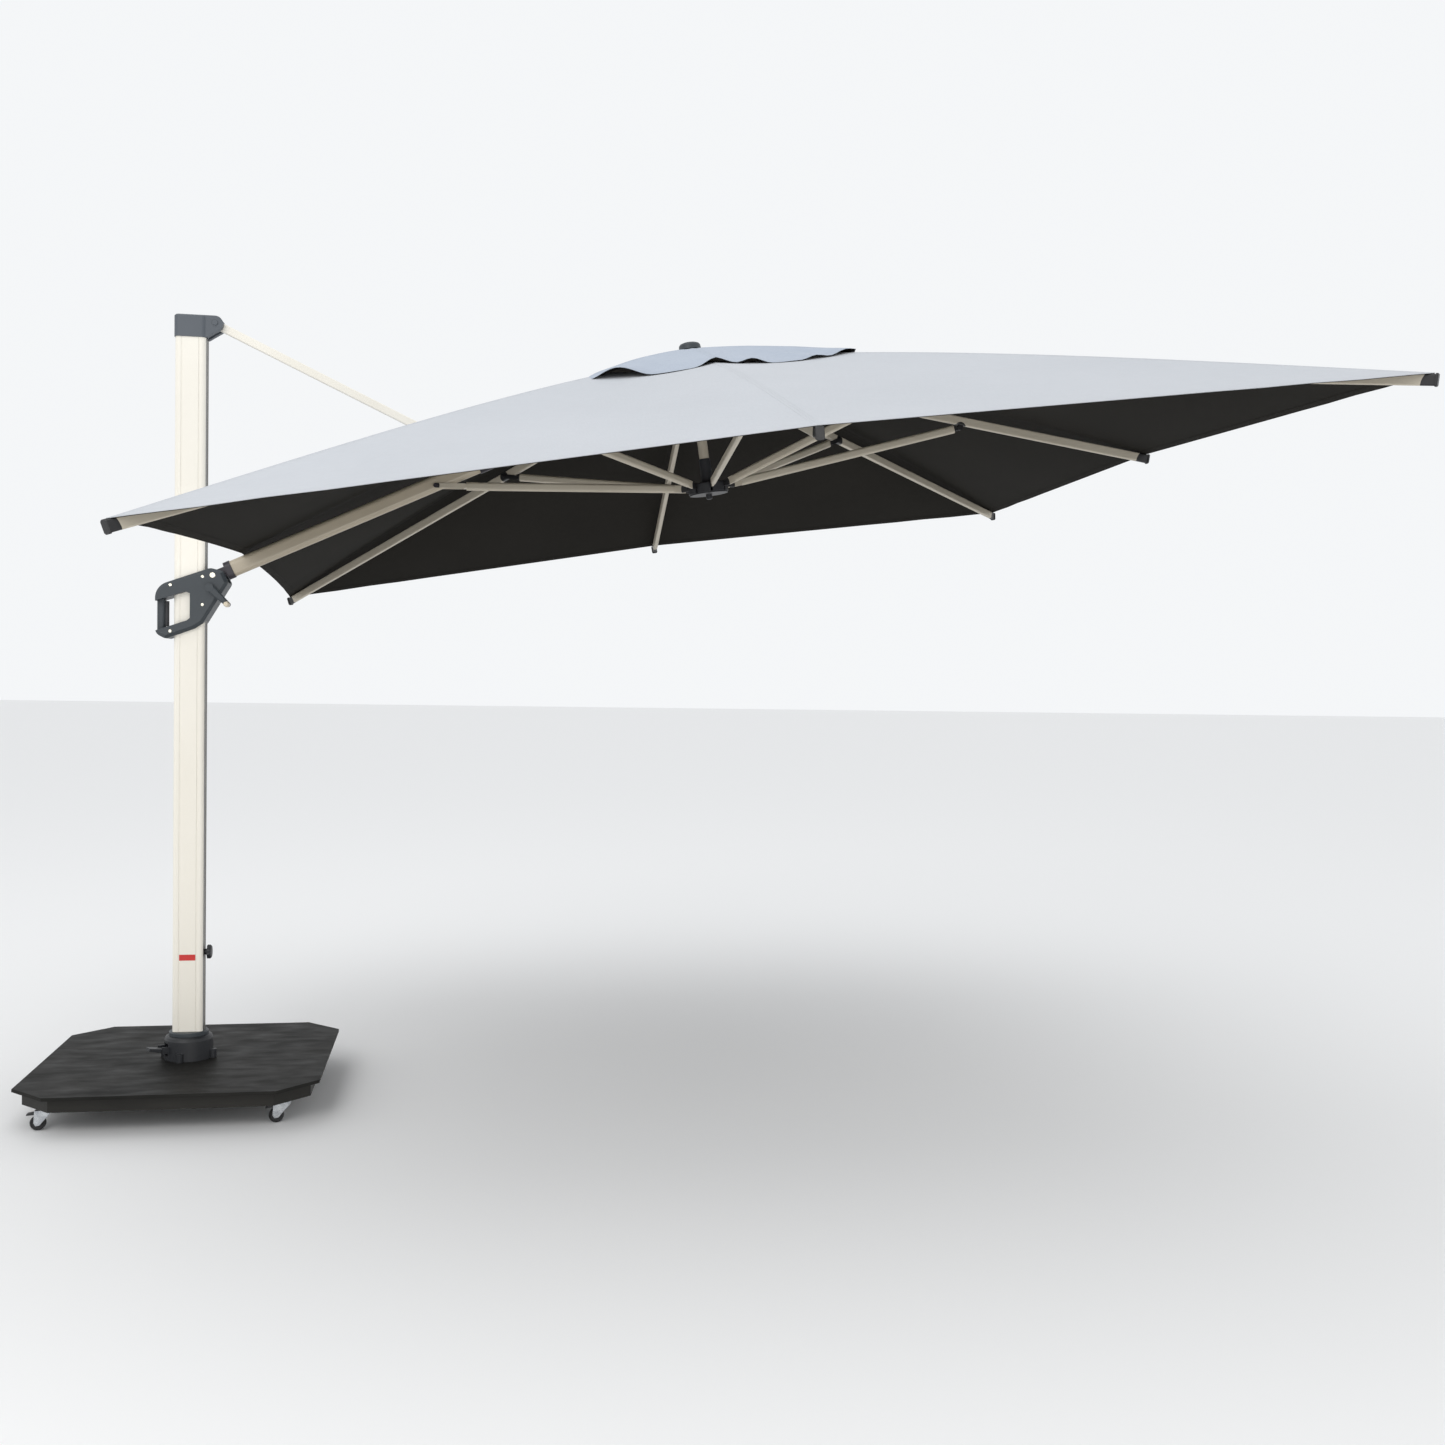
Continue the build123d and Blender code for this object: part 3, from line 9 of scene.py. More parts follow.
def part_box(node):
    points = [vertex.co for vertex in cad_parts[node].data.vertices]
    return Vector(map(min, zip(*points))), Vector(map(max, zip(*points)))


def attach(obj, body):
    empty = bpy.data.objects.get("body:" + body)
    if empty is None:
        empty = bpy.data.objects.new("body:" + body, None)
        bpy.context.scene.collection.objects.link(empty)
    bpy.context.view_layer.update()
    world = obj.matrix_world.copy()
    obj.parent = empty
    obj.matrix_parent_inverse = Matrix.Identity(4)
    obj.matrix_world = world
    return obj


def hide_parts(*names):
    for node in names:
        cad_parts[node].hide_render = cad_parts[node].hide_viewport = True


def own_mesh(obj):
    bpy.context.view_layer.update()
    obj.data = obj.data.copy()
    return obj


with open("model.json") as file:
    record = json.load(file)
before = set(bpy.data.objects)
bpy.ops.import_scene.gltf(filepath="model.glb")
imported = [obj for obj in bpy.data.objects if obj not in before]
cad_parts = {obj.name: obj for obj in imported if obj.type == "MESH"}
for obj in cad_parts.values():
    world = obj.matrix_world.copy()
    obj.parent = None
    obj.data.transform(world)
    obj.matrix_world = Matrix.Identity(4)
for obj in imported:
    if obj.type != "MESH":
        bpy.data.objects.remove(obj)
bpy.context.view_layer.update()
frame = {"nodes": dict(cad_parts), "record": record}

# ------------------------------------------------------------------ the frame's places
JOINTS = {j["name"]: j for j in frame["record"]["behaviour"]["joints"]}


def joint_at(name):
    return Vector(JOINTS[name]["pos_m"])


def joint_axis(name):
    return Vector(JOINTS[name]["axis"])


# the canopy's own frame: X towards the outer edge, Z up its axis, apex as origin
RIB_HINGE_DROP = 0.045
EY = joint_axis("rib_hinge_outer").normalized()
EX = -joint_axis("rib_hinge_rear").normalized()
EZ = EX.cross(EY).normalized()
APEX = (joint_at("rib_hinge_rear") + joint_at("rib_hinge_front")) / 2 + RIB_HINGE_DROP * EZ

CANOPY_HALF = 1.5
MID_DROP = 0.466            # from the apex to the middle of a side
CORNER_DROP = 0.4987        # from the apex to a corner
MAST_SIDE_NOTCH = 0.045     # how far the side at the mast is cut back
VENT_HALF = 0.300           # half side of the canopy's opening under the flap
FLAP_HALF = 0.420
FLAP_LIFT = 0.030
FLAP_HOLE = 0.016           # half side of the flap's hole at the hub
CROWN_HALF = 0.100          # the flap's middle, which stays on the hub
CLOTH = 0.0012              # the skins' thickness
CANOPY_HEM = 0.030
FLAP_HEM = 0.020

# the strut's slot, in a narrow strip of cloth over the arm
STRIP = 0.05                # half width of the strip, in eighths
SLOT_HALF = 0.0265
SLOT_ENDS = (-0.086, 0.050)     # centres of its round ends, along the arm from the strut's joint
SLOT_CUT = (-0.01, 0.11)    # heights between which the cutter stands
SLOT_SIDES = 24

# how much of its width a gathered piece keeps: over a side's middle, over a corner
CANOPY_KEEP = (0.265, 0.39)
FLAP_KEEP = (0.32, 0.475)
ARM_GATHER = 0.033          # the cloth beside the strip gathers to lines this far from the arm's middle

# the mast's track, in its own coordinates
MAST_TRACK_FACE = 0.0440
MAST_TRACK_HALF = 0.0215
MAST_TRACK_TOP = 2.3
TRACK_SHADE = (0.050, 0.048, 0.046)

# black fittings on the ribs and stays, as reach from a joint or a tip
FITTING_BLACK = (0.012, 0.012, 0.013)
RIB_HUB_FITTING = 0.040
RIB_TIP_FITTING = 0.050
RIB_STAY_FITTING = 0.020
STAY_RIB_FITTING = (0.022, 0.074)       # over a side's middle, over a corner
STAY_HUB_FITTING = 0.030

# the cloth's weave and its stitching
CLOUD_SHARE = 0.35          # share of soft clouds in the tone, against threads
THREAD_PITCH = 0.0016
STITCH_HALF = 0.0007
SEAM_HALF = 0.0009
SEAM_STITCH_OFFSET = 0.009  # a row of stitching to each side of a rib's seam

# the ribs by eighths of a turn from the outer edge; the arm takes the place over the mast
RIBS = ["outer", "rear_right", "rear", "rear_left", "arm", "front_left", "front", "front_right"]


def body_of_rib(k):
    return "arm" if RIBS[k] == "arm" else "rib_" + RIBS[k]


def to_world(x, y, z):
    return APEX + x * EX + y * EY + z * EZ


def to_canopy(point):
    d = Vector(point) - APEX
    return Vector((d.dot(EX), d.dot(EY), d.dot(EZ)))


# ------------------------------------------------------------------ materials
def new_material(name):
    material = bpy.data.materials.new(name)
    material.use_nodes = True
    return material, material.node_tree.nodes, material.node_tree.links


def add(nodes, kind, **values):
    """A node with its inputs set by name."""
    node = nodes.new(kind)
    for key, value in values.items():
        if key in node.inputs:
            node.inputs[key].default_value = value
        else:
            setattr(node, key, value)
    return node


def noise_at(nodes, links, scale, detail=4.0, stretch=(1, 1, 1)):
    """Noise in metres of the object's own coordinates."""
    where = nodes.new("ShaderNodeTexCoord")
    mapping = nodes.new("ShaderNodeMapping")
    mapping.inputs["Scale"].default_value = stretch
    links.new(where.outputs["Object"], mapping.inputs["Vector"])
    texture = add(nodes, "ShaderNodeTexNoise", Scale=scale, Detail=detail)
    links.new(mapping.outputs["Vector"], texture.inputs["Vector"])
    return texture


def ramp(nodes, links, source, low, high, dark, light):
    """A value ramp between two colours."""
    r = nodes.new("ShaderNodeValToRGB")
    r.color_ramp.elements[0].position = low
    r.color_ramp.elements[1].position = high
    r.color_ramp.elements[0].color = (*dark, 1)
    r.color_ramp.elements[1].color = (*light, 1)
    links.new(source, r.inputs["Fac"])
    return r


def span(nodes, links, source, low, high, to_low, to_high):
    m = add(nodes, "ShaderNodeMapRange")
    m.inputs["From Min"].default_value = low
    m.inputs["From Max"].default_value = high
    m.inputs["To Min"].default_value = to_low
    m.inputs["To Max"].default_value = to_high
    links.new(source, m.inputs["Value"])
    return m


def calculate(nodes, links, operation, *values):
    """A math node's output. Each value is a number or another node's output."""
    node = add(nodes, "ShaderNodeMath", operation=operation)
    for socket, value in zip(node.inputs, values):
        if isinstance(value, (int, float)):
            socket.default_value = value
        else:
            links.new(value, socket)
    return node.outputs[0]


def strongest(nodes, links, masks):
    """The largest of several masks at each point."""
    total = masks[0]
    for mask in masks[1:]:
        total = calculate(nodes, links, "MAXIMUM", total, mask)
    return total


def paint_over(material, mask, colour):
    """Lay a flat colour over the material's own wherever the mask is 1."""
    nodes, links = material.node_tree.nodes, material.node_tree.links
    shader = nodes["Principled BSDF"]
    mix = nodes.new("ShaderNodeMix")
    mix.data_type = "RGBA"
    links.new(mask, mix.inputs["Factor"])
    links.new(shader.inputs["Base Color"].links[0].from_socket, mix.inputs["A"])
    mix.inputs["B"].default_value = (*colour, 1)
    links.new(mix.outputs["Result"], shader.inputs["Base Color"])


def grain_and_edges(nodes, links, grain, strength, depth, radius):
    """Bump from a fine grain, over edges that are softly rounded."""
    bump = add(nodes, "ShaderNodeBump", Strength=strength, Distance=depth)
    links.new(grain, bump.inputs["Height"])
    edges = add(nodes, "ShaderNodeBevel", Radius=radius)
    links.new(edges.outputs["Normal"], bump.inputs["Normal"])
    links.new(bump.outputs["Normal"], nodes["Principled BSDF"].inputs["Normal"])


def finish_of(name, colour, shade, roughness, grain, grain_scale, grain_depth, edge, metallic=0.0,
              coat=0.0, stretch=(1, 1, 1), patch_scale=6.0, specular=0.5):
    """Painted, plated or moulded surface: patches of tone, a fine grain and softly rounded edges.

    grain is how far the roughness varies; grain_depth and edge are in metres.
    """
    material, nodes, links = new_material(name)
    shader = nodes["Principled BSDF"]
    shader.inputs["Metallic"].default_value = metallic
    shader.inputs["Coat Weight"].default_value = coat
    shader.inputs["Coat Roughness"].default_value = 0.25
    shader.inputs["Specular IOR Level"].default_value = specular
    patches = noise_at(nodes, links, patch_scale, 6.0, stretch)
    tones = ramp(nodes, links, patches.outputs["Fac"], 0.3, 0.7, shade, colour)
    links.new(tones.outputs["Color"], shader.inputs["Base Color"])
    fine = noise_at(nodes, links, grain_scale, 3.0, stretch)
    rough = span(nodes, links, fine.outputs["Fac"], 0.3, 0.7, roughness - grain, roughness + grain)
    links.new(rough.outputs["Result"], shader.inputs["Roughness"])
    grain_and_edges(nodes, links, fine.outputs["Fac"], 0.35, grain_depth, edge)
    return material


def finish(name, label=None):
    """One of the plain finishes in FINISHES, under its own name or another label."""
    values, extras = FINISHES[name]
    return finish_of(label or name, *values, **extras)


def mast_paint():
    """Ivory paint, darker in a band up the middle of the mast's outer face, where its track runs."""
    material = finish("ivory_paint", label="mast_paint")
    nodes, links = material.node_tree.nodes, material.node_tree.links
    where = nodes.new("ShaderNodeTexCoord")
    split = nodes.new("ShaderNodeSeparateXYZ")
    links.new(where.outputs["Object"], split.inputs["Vector"])
    outer = calculate(nodes, links, "GREATER_THAN", split.outputs["X"], MAST_TRACK_FACE)
    aside = calculate(nodes, links, "ABSOLUTE", split.outputs["Y"])
    middle = calculate(nodes, links, "LESS_THAN", aside, MAST_TRACK_HALF)
    below_cap = calculate(nodes, links, "LESS_THAN", split.outputs["Z"], MAST_TRACK_TOP)
    face = calculate(nodes, links, "MULTIPLY", outer, middle)
    paint_over(material, calculate(nodes, links, "MULTIPLY", face, below_cap), TRACK_SHADE)
    return material


def black_plate():
    """Satin powder coat with scuffs and dust on the upper face."""
    material, nodes, links = new_material("black_plate")
    shader = nodes["Principled BSDF"]
    patches = noise_at(nodes, links, 5.0, 8.0)
    tones = ramp(nodes, links, patches.outputs["Fac"], 0.35, 0.75,
                 (0.014, 0.014, 0.013), (0.026, 0.025, 0.023))
    dust = noise_at(nodes, links, 160.0, 2.0)
    specks = ramp(nodes, links, dust.outputs["Fac"], 0.74, 0.80, (0, 0, 0), (0.20, 0.19, 0.18))
    mix = nodes.new("ShaderNodeMix")
    mix.data_type = "RGBA"
    mix.blend_type = "ADD"
    mix.inputs["Factor"].default_value = 0.35
    links.new(tones.outputs["Color"], mix.inputs["A"])
    links.new(specks.outputs["Color"], mix.inputs["B"])
    links.new(mix.outputs["Result"], shader.inputs["Base Color"])
    scuffs = noise_at(nodes, links, 9.0, 9.0, (1, 2.5, 1))
    shader.inputs["Specular IOR Level"].default_value = 0.05
    rough = span(nodes, links, scuffs.outputs["Fac"], 0.3, 0.7, 0.38, 0.60)
    links.new(rough.outputs["Result"], shader.inputs["Roughness"])
    fine = noise_at(nodes, links, 900.0, 2.0)
    grain_and_edges(nodes, links, fine.outputs["Fac"], 0.3, 0.00006, 0.0015)
    return material


def ends_blackened(name, ends):
    """Ivory paint darkened to sand as painted shade, with black fittings wherever a point lies within reach
    of one of the places.
    """
    material = finish("ivory_darkened_painted_shade", label=name)
    nodes, links = material.node_tree.nodes, material.node_tree.links
    where = nodes.new("ShaderNodeTexCoord")
    masks = []
    for place, reach in ends:
        gap = add(nodes, "ShaderNodeVectorMath", operation="DISTANCE")
        gap.inputs[1].default_value = place
        links.new(where.outputs["Object"], gap.inputs[0])
        masks.append(calculate(nodes, links, "LESS_THAN", gap.outputs["Value"], reach))
    paint_over(material, strongest(nodes, links, masks), FITTING_BLACK)
    return material


def threads_along(nodes, links, uv, scale):
    """Noise drawn out along the cloth's threads, by a scale for U and V."""
    texture = add(nodes, "ShaderNodeTexNoise", Scale=1.0, Detail=5.0)
    mapping = nodes.new("ShaderNodeMapping")
    mapping.inputs["Scale"].default_value = (*scale, 1)
    links.new(uv.outputs["UV"], mapping.inputs["Vector"])
    links.new(mapping.outputs["Vector"], texture.inputs["Vector"])
    return texture.outputs["Fac"]


def line_mask(nodes, links, source, centre, half_width):
    """1 on a line of the given half width, falling off to 0 at twice that."""
    off = calculate(nodes, links, "SUBTRACT", source, centre)
    size = calculate(nodes, links, "ABSOLUTE", off)
    return span(nodes, links, size, half_width, half_width * 2, 1.0, 0.0).outputs["Result"]


def cloth(name, light, dark, sheen, specular, edge_v):
    """Woven cloth. UV is in metres: U from the rib's line, V in from the outer edge.

    edge_v holds the places in V of the hem's two rows of stitching.
    """
    material, nodes, links = new_material(name)
    shader = nodes["Principled BSDF"]
    shader.inputs["Roughness"].default_value = 0.82
    shader.inputs["Sheen Weight"].default_value = sheen
    shader.inputs["Sheen Roughness"].default_value = 0.5
    shader.inputs["Specular IOR Level"].default_value = specular
    uv = nodes.new("ShaderNodeUVMap")
    uv.uv_map = "cloth"
    split = nodes.new("ShaderNodeSeparateXYZ")
    links.new(uv.outputs["UV"], split.inputs["Vector"])

    slub = threads_along(nodes, links, uv, (260, 34))
    cross = threads_along(nodes, links, uv, (30, 300))
    half = calculate(nodes, links, "MULTIPLY", cross, 0.5)
    both = calculate(nodes, links, "MULTIPLY_ADD", slub, 0.5, half)
    clouds = noise_at(nodes, links, 2.2, 3.0).outputs["Fac"]
    rest = calculate(nodes, links, "MULTIPLY", both, 1 - CLOUD_SHARE)
    blend_in = calculate(nodes, links, "MULTIPLY_ADD", clouds, CLOUD_SHARE, rest)
    tones = ramp(nodes, links, blend_in, 0.38, 0.62, dark, light)
    links.new(tones.outputs["Color"], shader.inputs["Base Color"])

    waves = []
    for axis in ("X", "Y"):
        turn = calculate(nodes, links, "MULTIPLY", split.outputs[axis], 2 * pi / THREAD_PITCH)
        waves.append(calculate(nodes, links, "SINE", turn))
    weave = calculate(nodes, links, "MULTIPLY", *waves)
    fine = add(nodes, "ShaderNodeBump", Strength=0.25, Distance=0.0002)
    links.new(weave, fine.inputs["Height"])

    from_rib = calculate(nodes, links, "ABSOLUTE", split.outputs["X"])
    marks = [line_mask(nodes, links, split.outputs["Y"], v, STITCH_HALF) for v in edge_v]
    marks.append(line_mask(nodes, links, from_rib, SEAM_STITCH_OFFSET, STITCH_HALF))
    marks.append(line_mask(nodes, links, from_rib, 0.0, SEAM_HALF))
    seams = add(nodes, "ShaderNodeBump", Strength=0.8, Distance=0.0008, invert=True)
    links.new(strongest(nodes, links, marks), seams.inputs["Height"])
    links.new(fine.outputs["Normal"], seams.inputs["Normal"])
    links.new(seams.outputs["Normal"], shader.inputs["Normal"])
    return material


# name: ((colour, shade, roughness, grain, grain_scale, grain_depth, edge), what differs from finish_of)
FINISHES = {
    "ivory_paint": (((0.86, 0.825, 0.745), (0.82, 0.78, 0.69), 0.36, 0.05, 420.0, 0.00005, 0.0012),
                    {"coat": 0.15, "stretch": (1, 1, 0.25)}),
    # the arm: ivory paint darkened and warmed, painted shade under the canopy
    "arm_ivory_painted_shade": (((0.47, 0.41, 0.315), (0.425, 0.37, 0.28), 0.36, 0.05, 420.0, 0.00005, 0.0012),
                  {"coat": 0.1}),
    # ribs, stays and hub tube: ivory paint darkened to a sand tone, painted shade under the canopy
    "ivory_darkened_painted_shade": (((0.50, 0.455, 0.37), (0.45, 0.405, 0.325), 0.42, 0.05, 420.0, 0.00005, 0.001), {}),
    "zinc": (((0.66, 0.68, 0.70), (0.42, 0.44, 0.47), 0.30, 0.08, 300.0, 0.00006, 0.0006),
             {"metallic": 1.0, "patch_scale": 60.0}),
    "pale_nickel": (((0.86, 0.82, 0.70), (0.74, 0.70, 0.58), 0.24, 0.05, 500.0, 0.00003, 0.0004),
                    {"metallic": 0.9, "patch_scale": 90.0}),
    "slate_plastic": (((0.040, 0.049, 0.057), (0.032, 0.040, 0.047), 0.46, 0.06, 1100.0, 0.00012, 0.0012),
                      {}),
    "cap_plastic": (((0.092, 0.106, 0.124), (0.078, 0.090, 0.106), 0.46, 0.06, 1100.0, 0.00012, 0.0012),
                    {}),
    "black_plastic": (((0.020, 0.022, 0.026), (0.014, 0.015, 0.018), 0.48, 0.08, 1100.0, 0.00014, 0.001),
                      {}),
    "tread_rubber": (((0.020, 0.020, 0.021), (0.012, 0.012, 0.013), 0.62, 0.10, 700.0, 0.0001, 0.0006), {}),
    "tray_paint": (((0.024, 0.023, 0.020), (0.017, 0.016, 0.014), 0.48, 0.07, 600.0, 0.00006, 0.0012),
                   {"specular": 0.2}),
    "dark_casting": (((0.030, 0.025, 0.034), (0.020, 0.017, 0.024), 0.38, 0.06, 700.0, 0.00008, 0.001), {}),
    "beige_plastic": (((0.72, 0.64, 0.50), (0.66, 0.58, 0.44), 0.40, 0.05, 900.0, 0.0001, 0.001), {}),
    "concrete": (((0.42, 0.41, 0.38), (0.30, 0.29, 0.27), 0.85, 0.08, 260.0, 0.0004, 0.001), {}),
    "frame_steel": (((0.045, 0.045, 0.048), (0.030, 0.030, 0.033), 0.5, 0.08, 600.0, 0.00006, 0.001), {}),
    "red_tape": (((0.62, 0.022, 0.018), (0.52, 0.018, 0.016), 0.32, 0.05, 300.0, 0.00003, 0.0002), {}),
}

MATERIALS = {
    "arm": finish("arm_ivory_painted_shade"), "ivory": finish("ivory_paint"), "mast": mast_paint(),
    "painted_shade_ivory": finish("ivory_darkened_painted_shade"), "plate": black_plate(), "zinc": finish("zinc"),
    "nickel": finish("pale_nickel"), "slate": finish("slate_plastic"), "cap": finish("cap_plastic"),
    "black": finish("black_plastic"), "rubber": finish("tread_rubber"), "tray": finish("tray_paint"),
    "casting": finish("dark_casting"), "beige": finish("beige_plastic"), "concrete": finish("concrete"),
    "steel": finish("frame_steel"),
    "top": cloth("canopy_top", (0.540, 0.562, 0.598), (0.497, 0.520, 0.556), 0.15, 0.25, (0.006, 0.026)),
    # the underside is the same cloth as the top, painted near black: painted shade under the canopy
    "under": cloth("canopy_under_painted_shade", (0.017, 0.0155, 0.0128), (0.012, 0.0108, 0.009), 0.0, 0.06,
                   (0.006, 0.026)),
    "flap": cloth("flap_top", (0.44, 0.495, 0.575), (0.38, 0.43, 0.515), 0.15, 0.25, (0.004, 0.018)),
}

NODE_MATERIALS = {
    "base_cover": "plate", "base_tray": "tray", "cross_frame": "steel", "ballast_slabs": "concrete",
    "base_flange": "steel", "caster_plates": "zinc", "caster_fork": "zinc", "caster_wheel": "rubber",
    "caster_brake": "black", "collar_housing": "black", "foot_pedal": "black", "turntable": "slate",
    "mast_tube": "mast", "mast_spigot": "steel", "mast_cap": "cap", "lock_knob": "black",
    # the arm's tube takes ivory darkened as painted shade
    "top_strut": "ivory", "arm_tube": "arm", "arm_root": "casting", "arm_sleeve": "casting",
    "arm_head": "casting",
    "slider_shell": "slate", "slider_screws": "nickel", "grip_bar": "slate", "trigger": "black",
    "crank_arm": "slate", "crank_knob": "beige", "top_hub": "black", "finial": "slate", "lower_hub": "black",
    # the hub tube takes ivory darkened as painted shade
    "hub_tube": "painted_shade_ivory",
}


def dress(node, material):
    obj = frame["nodes"][node]
    obj.data.materials.clear()
    obj.data.materials.append(material)


def dress_rib(name):
    """Ivory paint darkened to sand as painted shade, with black fittings at the hub, at the tip and at the
    stay's hinge.
    """
    low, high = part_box("rib_" + name)
    corners = [Vector((x, y, z)) for x in (low[0], high[0]) for y in (low[1], high[1])
               for z in (low[2], high[2])]
    hinge = joint_at("rib_hinge_" + name)
    tip = max(corners, key=lambda corner: (corner - hinge).length)
    stay = joint_at("stay_hinge_" + name)
    ends = [(hinge, RIB_HUB_FITTING), (tip, RIB_TIP_FITTING), (stay, RIB_STAY_FITTING)]
    dress("rib_" + name, ends_blackened("rib_paint_" + name, ends))


def dress_stay(name):
    """Ivory paint darkened to sand as painted shade, with black fittings at the rib and at the lower hub."""
    lower = to_canopy(joint_at("runner_on_stay"))
    reach = hypot(lower.x, lower.y)
    k = RIBS.index(name)
    angle = radians(45 * k)
    hub_end = to_world(reach * cos(angle), reach * sin(angle), lower.z)
    ends = [(joint_at("stay_hinge_" + name), STAY_RIB_FITTING[k % 2]), (hub_end, STAY_HUB_FITTING)]
    dress("stay_" + name, ends_blackened("stay_paint_" + name, ends))


def dress_nodes():
    for node in frame["nodes"]:
        for start, key in NODE_MATERIALS.items():
            if node.startswith(start):
                dress(node, MATERIALS[key])
    for name in RIBS:
        if name != "arm":
            dress_rib(name)
        dress_stay(name)


# ------------------------------------------------------------------ the canopy's surface
def square_point(p):
    """Point of the unit square's outline at p eighths from the middle of its outer side."""
    p = p % 8
    corner = [(1, 0), (1, 1), (0, 1), (-1, 1), (-1, 0), (-1, -1), (0, -1), (1, -1), (1, 0)]
    k = int(p)
    t = p - k
    a, b = corner[k], corner[k + 1]
    return a[0] + (b[0] - a[0]) * t, a[1] + (b[1] - a[1]) * t


def pyramid(x, y):
    """Height of the flat-panelled surface."""
    long_side, short_side = max(abs(x), abs(y)), min(abs(x), abs(y))
    return -(MID_DROP * long_side + (CORNER_DROP - MID_DROP) * short_side) / CANOPY_HALF


SAG = 0.024                 # how far the cloth hollows between two ribs
ARCH = 0.030                # how far the cloth's tension bows it up between hub and tips
PUCKER = 0.0035             # tension folds that run in from the corners
PUCKER_REACH = 0.75         # how far they run from a corner
FLAP_SETTLE = 0.026         # how far the flap's edge settles below the lift of its middle
FLAP_SLACK = 0.0045
TUCK = 0.07                 # how far the corner at TUCKED_PLACE is pulled in, as a share
TUCKED_PLACE = 5.0


def cloth_height(x, y):
    """The taut cloth: over the ribs it is on them, and between them it hollows."""
    half = max(abs(x), abs(y), 1e-6)
    t = min(abs(x), abs(y)) / half
    out = min(half / CANOPY_HALF, 1.0)
    hollow = SAG * 4 * t * (1 - t) * 4 * out * (1 - out) * (0.6 + 0.4 * out)
    gap = hypot(CANOPY_HALF - abs(x), CANOPY_HALF - abs(y))
    fan = sin(t * 34.0) * t * (1 - t) * 4
    pucker = PUCKER * fan * max(0.0, 1 - gap / PUCKER_REACH) ** 2 * min(1.0, gap / 0.08)
    return pyramid(x, y) - hollow + pucker + ARCH * sin(pi * out ** 0.8)


def notched(p, share):
    """Point of the cloth's plan at p eighths, at a share of the half side; cut back at the mast."""
    qx, qy = square_point(p)
    x, y = CANOPY_HALF * share * qx, CANOPY_HALF * share * qy
    if qx < -0.999:
        ease = max(0.0, (share - 0.35) / 0.65)
        x += MAST_SIDE_NOTCH * (1 - qy * qy) * ease * ease
    return x, y


def canopy_point(p, share):
    x, y = notched(p, share)
    return Vector((x, y, cloth_height(x, y)))


# loose edge of the vent flap: (place in eighths, half width, lift) of each bulge
BULGES = (
    (5.30, 0.27, 0.030), (5.99, 0.16, 0.015), (6.26, 0.14, 0.014), (6.71, 0.12, 0.010),
    (6.93, 0.13, 0.010), (7.40, 0.16, 0.011), (0.42, 0.20, 0.012), (1.35, 0.20, 0.012),
    (1.78, 0.16, 0.009), (2.5, 0.22, 0.013), (3.3, 0.20, 0.010), (3.85, 0.2, 0.012), (4.5, 0.2, 0.011),
)


def flap_point(p, share):
    qx, qy = square_point(p)
    x, y = CANOPY_HALF * share * qx, CANOPY_HALF * share * qy
    out = max(0.0, (share * CANOPY_HALF - FLAP_HOLE) / (FLAP_HALF - FLAP_HOLE))
    lift = 0.0
    for place, width, height in BULGES:
        off = min(abs(p % 8 - place), 8 - abs(p % 8 - place)) / width
        if off < 1:
            lift += height * (0.5 + 0.5 * cos(pi * off)) ** 1.2 * out ** 5
    slack = FLAP_SLACK * noise.noise(Vector((x * 9, y * 9, 4.0))) * out
    settle = -FLAP_SETTLE * out ** 2
    tucked = TUCK * max(0.0, 1 - abs(p % 8 - TUCKED_PLACE) / 0.35) ** 2 * out ** 3
    pull_in = 1 - 0.25 * lift * out - tucked
    return Vector((x * pull_in, y * pull_in, cloth_height(x, y) + FLAP_LIFT + settle + lift + slack))


